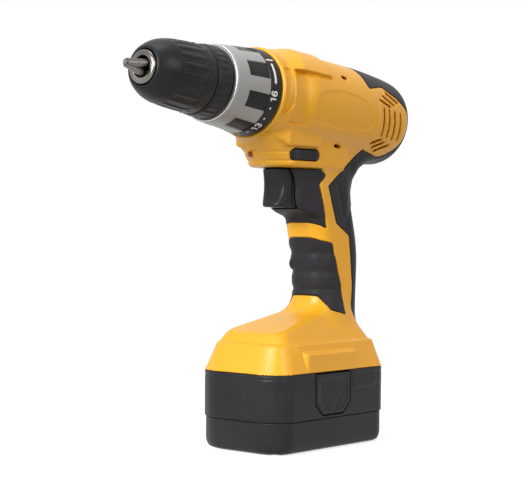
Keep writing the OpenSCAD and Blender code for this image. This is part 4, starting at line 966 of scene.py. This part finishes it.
# Each figure is drawn in a box 1 wide and 2 high, as one line or more.
FIGURES = {
    "0": [[(0, 0.4), (0, 1.6), (0.3, 2), (0.7, 2), (1, 1.6), (1, 0.4), (0.7, 0), (0.3, 0),
           (0, 0.4)]],
    "1": [[(0.15, 1.55), (0.6, 2), (0.6, 0)]],
    "3": [[(0, 1.7), (0.3, 2), (0.75, 2), (1, 1.6), (0.8, 1.15), (0.4, 1.05), (0.8, 0.95), (1, 0.5),
           (0.75, 0), (0.3, 0), (0, 0.3)]],
    "4": [[(0.75, 0), (0.75, 2), (0, 0.7), (1.05, 0.7)]],
    "6": [[(0.9, 1.8), (0.6, 2), (0.3, 1.9), (0, 1.3), (0, 0.4), (0.3, 0), (0.7, 0), (1, 0.4),
           (1, 0.75), (0.7, 1.15), (0.3, 1.15), (0, 0.75)]],
    "7": [[(0, 2), (1, 2), (0.4, 0)]],
}


SETTINGS, SETTING_PITCH, LAST_SETTING_ANGLE = 16, 16.1, -10.6
FIGURE_W, FIGURE_SCALE, FIGURE_PITCH = 5.4, 2.05, 7.6


def dial_marks():
    """The numbers 1 to 16 in threes with dots between, and the drilling mark: a bar and a
    tick. Angles are in degrees."""
    parts = []
    for setting in range(1, SETTINGS + 1):
        middle = LAST_SETTING_ANGLE - SETTING_PITCH * (SETTINGS - setting)
        if setting % 3 == 1:
            text = str(setting)
            start = middle - (FIGURE_W * len(text) + 2.2 * (len(text) - 1)) / 2
            for n, figure in enumerate(text):
                left = start + n * FIGURE_PITCH
                for line in FIGURES[figure]:
                    path = [(left + FIGURE_W * px, -4.3 - FIGURE_SCALE * py) for px, py in line]
                    parts.append(stroke(path, 0.52))
        else:
            parts.append(stroke([(middle - 0.35, -6.3), (middle + 0.35, -6.3)], 0.68))
    parts.append(stroke([(t, -5.6) for t in (7.5, 17, 26, 34)], 0.85))
    parts.append(stroke([(41.5, -8.2), (41.5, -6.9), (42.3, -5.6), (41.5, -4.3), (42.3, -3.0)],
                        0.6))
    starts = np.cumsum([0] + [len(points) for points, _ in parts])
    faces = [faces + start for (_, faces), start in zip(parts, starts)]
    return np.concatenate([points for points, _ in parts]), np.concatenate(faces), None


piece("dial_marks", dial_marks(), "torque_collar", "dial_white", "black_plastic")

# ---------- trigger and selector ----------


def trigger_body(x, y, z):
    """Trigger: a round-nosed plan, hollowed in front for the finger, with a lip below and
    grooves down each side."""
    plan = highest(nosed_plan(x, y, TRIGGER_FRONT_X - 2, TRIGGER_HALF_W, TRIGGER_NOSE_R),
                   x - TRIGGER_REAR_X, np.abs(y) - TRIGGER_HALF_W)
    finger = np.hypot(x + 37.9, z - 163.0) - 17.1
    form = trimmed(plan, (-finger, 2.2), (TRIGGER_LOW_Z - z, 2.0), (z - TRIGGER_TOP_Z, 0.8))
    grooves = 0.9 * hump((x + 13.0) / 1.1) + 0.6 * hump((x + 6.2) / 0.8)
    form = form + ramp((np.abs(y) - 4) / 4) * grooves
    rod = highest(np.hypot(y, z - 164.5) - 2.8, 1.5 - x, x - 12.0)
    return np.minimum(form, rod)


piece("trigger_blade", moulded(trigger_body, (-26, -10, 149), (14, 10, 174), 0.5), "trigger",
      "trigger_black", "black_plastic", "trigger")


def selector_button(x, y, z):
    """Direction selector: a bar through the housing with round ends, dished on each face, and
    the arm and finger that reach the switch."""
    dish = 0.5 * ramp((10 - np.abs(x - SELECTOR_X)) / 5)
    bar = soft_max(selector_plan(x, z, SELECTOR_H / 2), np.abs(y) - 18.9 + dish, 1.2)
    arm = box(x, y, z, (-4, -3, 179.6), (13, 3, 181.9))
    finger = box(x, y, z, (10.3, -3, 172.9), (13.2, 3, 181.9))
    return lowest(bar, arm, finger)


piece("selector_bar", moulded(selector_button, (-27, -20, 172), (14, 20, 186.5), 0.6),
      "direction_selector", "trigger_black", "black_plastic", "direction_selector")

# ---------- battery pack ----------

LATCH_OUTLINE = [(LATCH_X + u, w) for u, w in (
    (-LATCH_HALF_W, LATCH_TOP_Z), (-LATCH_HALF_W, LATCH_LOW_Z + LATCH_CORNER),
    (LATCH_CORNER - LATCH_HALF_W, LATCH_LOW_Z), (LATCH_HALF_W - LATCH_CORNER, LATCH_LOW_Z),
    (LATCH_HALF_W, LATCH_LOW_Z + LATCH_CORNER), (LATCH_HALF_W, LATCH_TOP_Z))]
POST_PLACES = [(-45.5, -24), (-45.5, 24), (47, -24), (47, 24)]


def upper_case(x, y, z):
    """Upper case: the pack's plan with a deck, the stem that plugs into the handle, pockets
    behind the latches and small marks of its mould."""
    plan, out, across = pack_plan(x, y), np.abs(y), x - LATCH_X
    on_side = ramp((out - 29) / 2)
    panel = outline(x, z, [(17.5, 36.6), (40, 36.6), (42, 38.6), (42, 60), (17.5, 60)])
    panel = -np.minimum(0.35 * on_side * ramp(-panel / 0.6), 0.3)
    nick = 0.7 * on_side * ramp(-slot(x, z, (-44.5, 37.5), (-43.2, 42.5), 0.9) / 0.7)
    top_bead = 0.3 * ramp(1 - np.abs(z - 45.6) / 0.7)
    skin = np.minimum(plan + nick + top_bead + panel + 0.3, plan + 0.6) - 0.3
    skin = trimmed(skin, (z - 48.38, 0.9), (PACK_JOINT_Z + 0.05 - z, 0.7))
    body = np.maximum(skin, -np.maximum(plan + 2.2, z - 46.2))
    stem = trimmed(rounded_plan(x - STEM_X, y, STEM_L / 2, STEM_W / 2, 8.0),
                   (z - STEM_TOP_Z, 1.2), (46.6 - z, 0.2))
    ribs = 0.5 * ramp((np.abs((y + 3) % 6 - 3) - 1.6) / 0.6) * within(z, 56, 86, 3, 3)
    body = soft_min(body, stem + ribs * ramp((np.abs(x - STEM_X) - 13) / 2), 1.0)
    core = highest(rounded_plan(x - STEM_X, y, STEM_L / 2 - 2.2, STEM_W / 2 - 2.2, 6.0), 38.5 - z,
                   z - STEM_TOP_Z + 2)
    body = np.maximum(body, -core)
    for slot_y in (-7, 0, 7):
        body = np.maximum(body, -box(x, y - slot_y, z, (26.1, -1, 88), (33.1, 1, 94)))
    window = soft_max(outline(x, z, LATCH_OUTLINE) - 0.45, 28.0 - out, 0.4)
    body = soft_max(body, -window, 0.7)
    pocket = box(across, out, z, (-19, 26.1, 20.1), (19, 27.0, 45.7))
    webs = box(np.abs(across), out, z, (17.8, 26.1, 20.1), (19, 32.2, 45.7))
    body = lowest(body, pocket, webs)
    body = np.maximum(body, -box(across, out, z, (-10.4, 26.4, 44.3), (10.4, 32.0, 50.3)))
    post = highest(rods(x, y, POST_PLACES, 2.9), 20.1 - z, z - 46.4)
    return np.maximum(np.minimum(body, post), -np.maximum(rods(x, y, POST_PLACES, 1.3), z - 34))


def lower_case(x, y, z):
    """Lower case: stepped in from the upper one, with a rounded bevel round its floor and wells
    for its four screws."""
    plan = pack_plan(x, y) + 0.8
    skin = trimmed(plan, (-z, 0.5), ((plan + 3.0 - z) * 0.7071, 3.2),
                   (z - PACK_JOINT_Z + 0.05, 0.5))
    body = np.maximum(skin, -np.maximum(plan + 3.0, 2.2 - z))
    post = highest(rods(x, y, POST_PLACES, 4.2), 1.7 - z, z - PACK_JOINT_Z + 0.05)
    return highest(np.minimum(body, post), -rods(x, y, POST_PLACES, 1.36),
                   -np.maximum(rods(x, y, POST_PLACES, 2.9), z - 5))


CASE_CELL = 0.8
piece("pack_top", moulded(upper_case, (-56, -35, 19.5), (56, 35, 93), CASE_CELL), "battery",
      "case_black", "black_plastic", "pack_upper_case")
piece("pack_base", moulded(lower_case, (-55, -34, -0.5), (55, 34, 20.5), CASE_CELL), "battery",
      "case_black", "black_plastic", "pack_lower_case")


def latch_button(side):
    """Latch: a bevelled button with a shallow dish and a diagonal crease, and the arm that
    hooks into the foot."""
    def field(x, y, z):
        out = side * y
        edge = outline(x, z, LATCH_OUTLINE)
        dish = 0.35 * ramp((-edge - 2.2) / 2.5)
        crease = 0.3 * hump(((x - 6.5) - (z - 34) * 0.8) / 0.8) * ramp((-edge - 0.5) / 1)
        plate = soft_max(edge, out - LATCH_FACE_Y + dish + crease, 1.8)
        plate = np.maximum(plate, LATCH_FACE_Y - LATCH_T - out)
        arm = box(x - LATCH_X, out, z, (-10, 29.0, 46.0), (10, 31.9, 47.4))
        hook = box(x - LATCH_X, out, z, (-10, 29.0, 46.0), (10, 30.8, 56.0))
        return lowest(plate, arm, hook)
    return field


for side, name in SIDES:
    low_y, high_y = sorted((28.5 * side, 34.6 * side))
    button = moulded(latch_button(side), (-20, low_y, 21.5), (16, high_y, 56.5), 0.45)
    piece(name + "_latch_button", button, name + "_latch", "case_black", "black_plastic",
          name + "_latch")

# ---------- finishes of the carried-over nodes ----------


def numbered(name):
    """The names of three like nodes."""
    return [f"{name}_{n}" for n in (1, 2, 3)]


FINISHES = {
    "jaw_steel": numbered("jaw"),
    "gear_steel": numbered("front_planet") + numbered("rear_planet") + [
        "chuck_screw", "chuck_nut", "spindle", "front_carrier", "rear_carrier", "pinion",
        "ring_gear_front", "ring_gear_rear", "clutch_balls", "clutch_plate", "clutch_spring",
        "spindle_bearing"],
    "screw_steel": ["housing_screws"],
    "zinc_steel": ["gearbox_screws", "motor_plate", "motor_can", "trigger_spring",
                   "latch_springs", "pack_screws", "cell_links"],
    "case_black": ["gear_case", "clutch_nut", "motor_end_cap", "switch_body", "terminal_block",
                 "cooling_fan"],
    "brass": ["terminal_blades", "pack_terminals", "motor_brushes"],
    "copper": ["armature", "commutator"],
    "magnet": ["motor_magnets"],
    "wire_cover": ["internal_leads"],
    "cell_wrap": ["battery_cells"],
}
for look, names in FINISHES.items():
    for node_name in names:
        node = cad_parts[node_name]
        if not node.material_slots:
            node.data.materials.append(LOOKS[look])
        for material_slot in node.material_slots:
            material_slot.material = LOOKS[look]

# ---------- studio ----------

FLOOR_GLOW = 0.72


def floor_material():
    """Pale floor. Round the drill it shows its shadow, and its own colour in the light is made
    up to white by a glow for the camera. Further out it fades to plain white."""
    material = bpy.data.materials.new("studio_floor")
    material.use_nodes = True
    tree = material.node_tree
    tree.nodes.clear()
    rays, where, both, fade, glow, white, made = (add(tree, kind) for kind in (
        "LightPath", "TexCoord", "AddShader", "MixShader", "Emission", "Emission",
        "OutputMaterial"))
    paint = add(tree, "BsdfDiffuse", {"Color": (0.55, 0.55, 0.55, 1)})
    seen = add(tree, "Math", operation="MAXIMUM")
    level = add(tree, "Math", {1: FLOOR_GLOW}, "MULTIPLY")
    reach = add(tree, "VectorMath", operation="LENGTH")
    edge = add(tree, "MapRange", {"From Min": 0.16, "From Max": 0.5})
    wire(tree, (where, "Object", reach, 0), (reach, "Value", edge, "Value"),
         (rays, "Is Camera Ray", seen, 0), (rays, "Is Glossy Ray", seen, 1),
         (seen, 0, level, 0), (level, 0, glow, "Strength"), (seen, 0, white, "Strength"),
         (paint, "BSDF", both, 0), (glow, "Emission", both, 1), (edge, "Result", fade, 0),
         (both, 0, fade, 1), (white, "Emission", fade, 2), (fade, 0, made, "Surface"))
    return material


# Each lamp: its name, place, aim, size, power and colour.
LAMPS = [("front_lamp", (-1.6, 0.05, 0.75), (-0.02, 0.0, 0.14), 0.7, 31.0, (0.95, 1.0, 0.98)),
         ("side_lamp", (-0.1, -1.7, 0.9), (0.0, 0.0, 0.12), 1.1, 15.0, (1.0, 0.92, 0.86)),
         ("top_lamp", (-0.2, 0.1, 1.7), (0.0, 0.0, 0.1), 1.0, 9.0, (1.0, 1.0, 1.0))]


def studio():
    """Floor, white surroundings and three soft lamps."""
    mesh = bpy.data.meshes.new("studio_floor")
    r = 14.0
    mesh.from_pydata([(-r, -r, 0), (r, -r, 0), (r, r, 0), (-r, r, 0)], [], [(0, 1, 2, 3)])
    mesh.materials.append(floor_material())
    placed("studio_floor", mesh)

    world = bpy.data.worlds.new("studio_world")
    bpy.context.scene.world = world
    world.use_nodes = True
    tree = world.node_tree
    sky = tree.nodes["Background"]
    set_inputs(sky, {"Color": (1, 1, 1, 1)})
    rays = add(tree, "LightPath")
    straight, seen = (add(tree, "Math", operation="MAXIMUM") for _ in range(2))
    level = add(tree, "MapRange", {"To Min": 0.3, "To Max": 1.0})
    wire(tree, (rays, "Is Camera Ray", straight, 0), (rays, "Is Glossy Ray", straight, 1),
         (straight, 0, seen, 0), (rays, "Is Transmission Ray", seen, 1),
         (seen, 0, level, "Value"), (level, "Result", sky, "Strength"))

    for name, place, aim, size, power, tint in LAMPS:
        data = bpy.data.lights.new(name, "AREA")
        data.shape = "DISK"
        data.size, data.energy, data.color = size, power, tint
        turn = Vector(np.array(aim) - np.array(place)).to_track_quat("-Z", "Y")
        placed(name, data).matrix_world = Matrix.Translation(place) @ turn.to_matrix().to_4x4()


studio()


def make_camera():
    """Camera at the drill's front left, level with the middle of the handle."""
    yaw, pitch, roll = (math.radians(t) for t in (49.222, -0.787, 0.525))
    data = bpy.data.cameras.new("camera")
    data.sensor_width, data.lens = 36.0, 102.27
    data.clip_start, data.clip_end = 0.05, 60.0
    camera = placed("camera", data)
    camera.matrix_world = (Matrix.Translation((-0.73125, -0.60528, 0.13722))
                           @ Matrix.Rotation(-yaw, 4, "Z")
                           @ Matrix.Rotation(math.pi / 2 + pitch, 4, "X")
                           @ Matrix.Rotation(roll, 4, "Z"))
    bpy.context.scene.camera = camera


make_camera()
bpy.context.scene.view_settings.view_transform = "Standard"
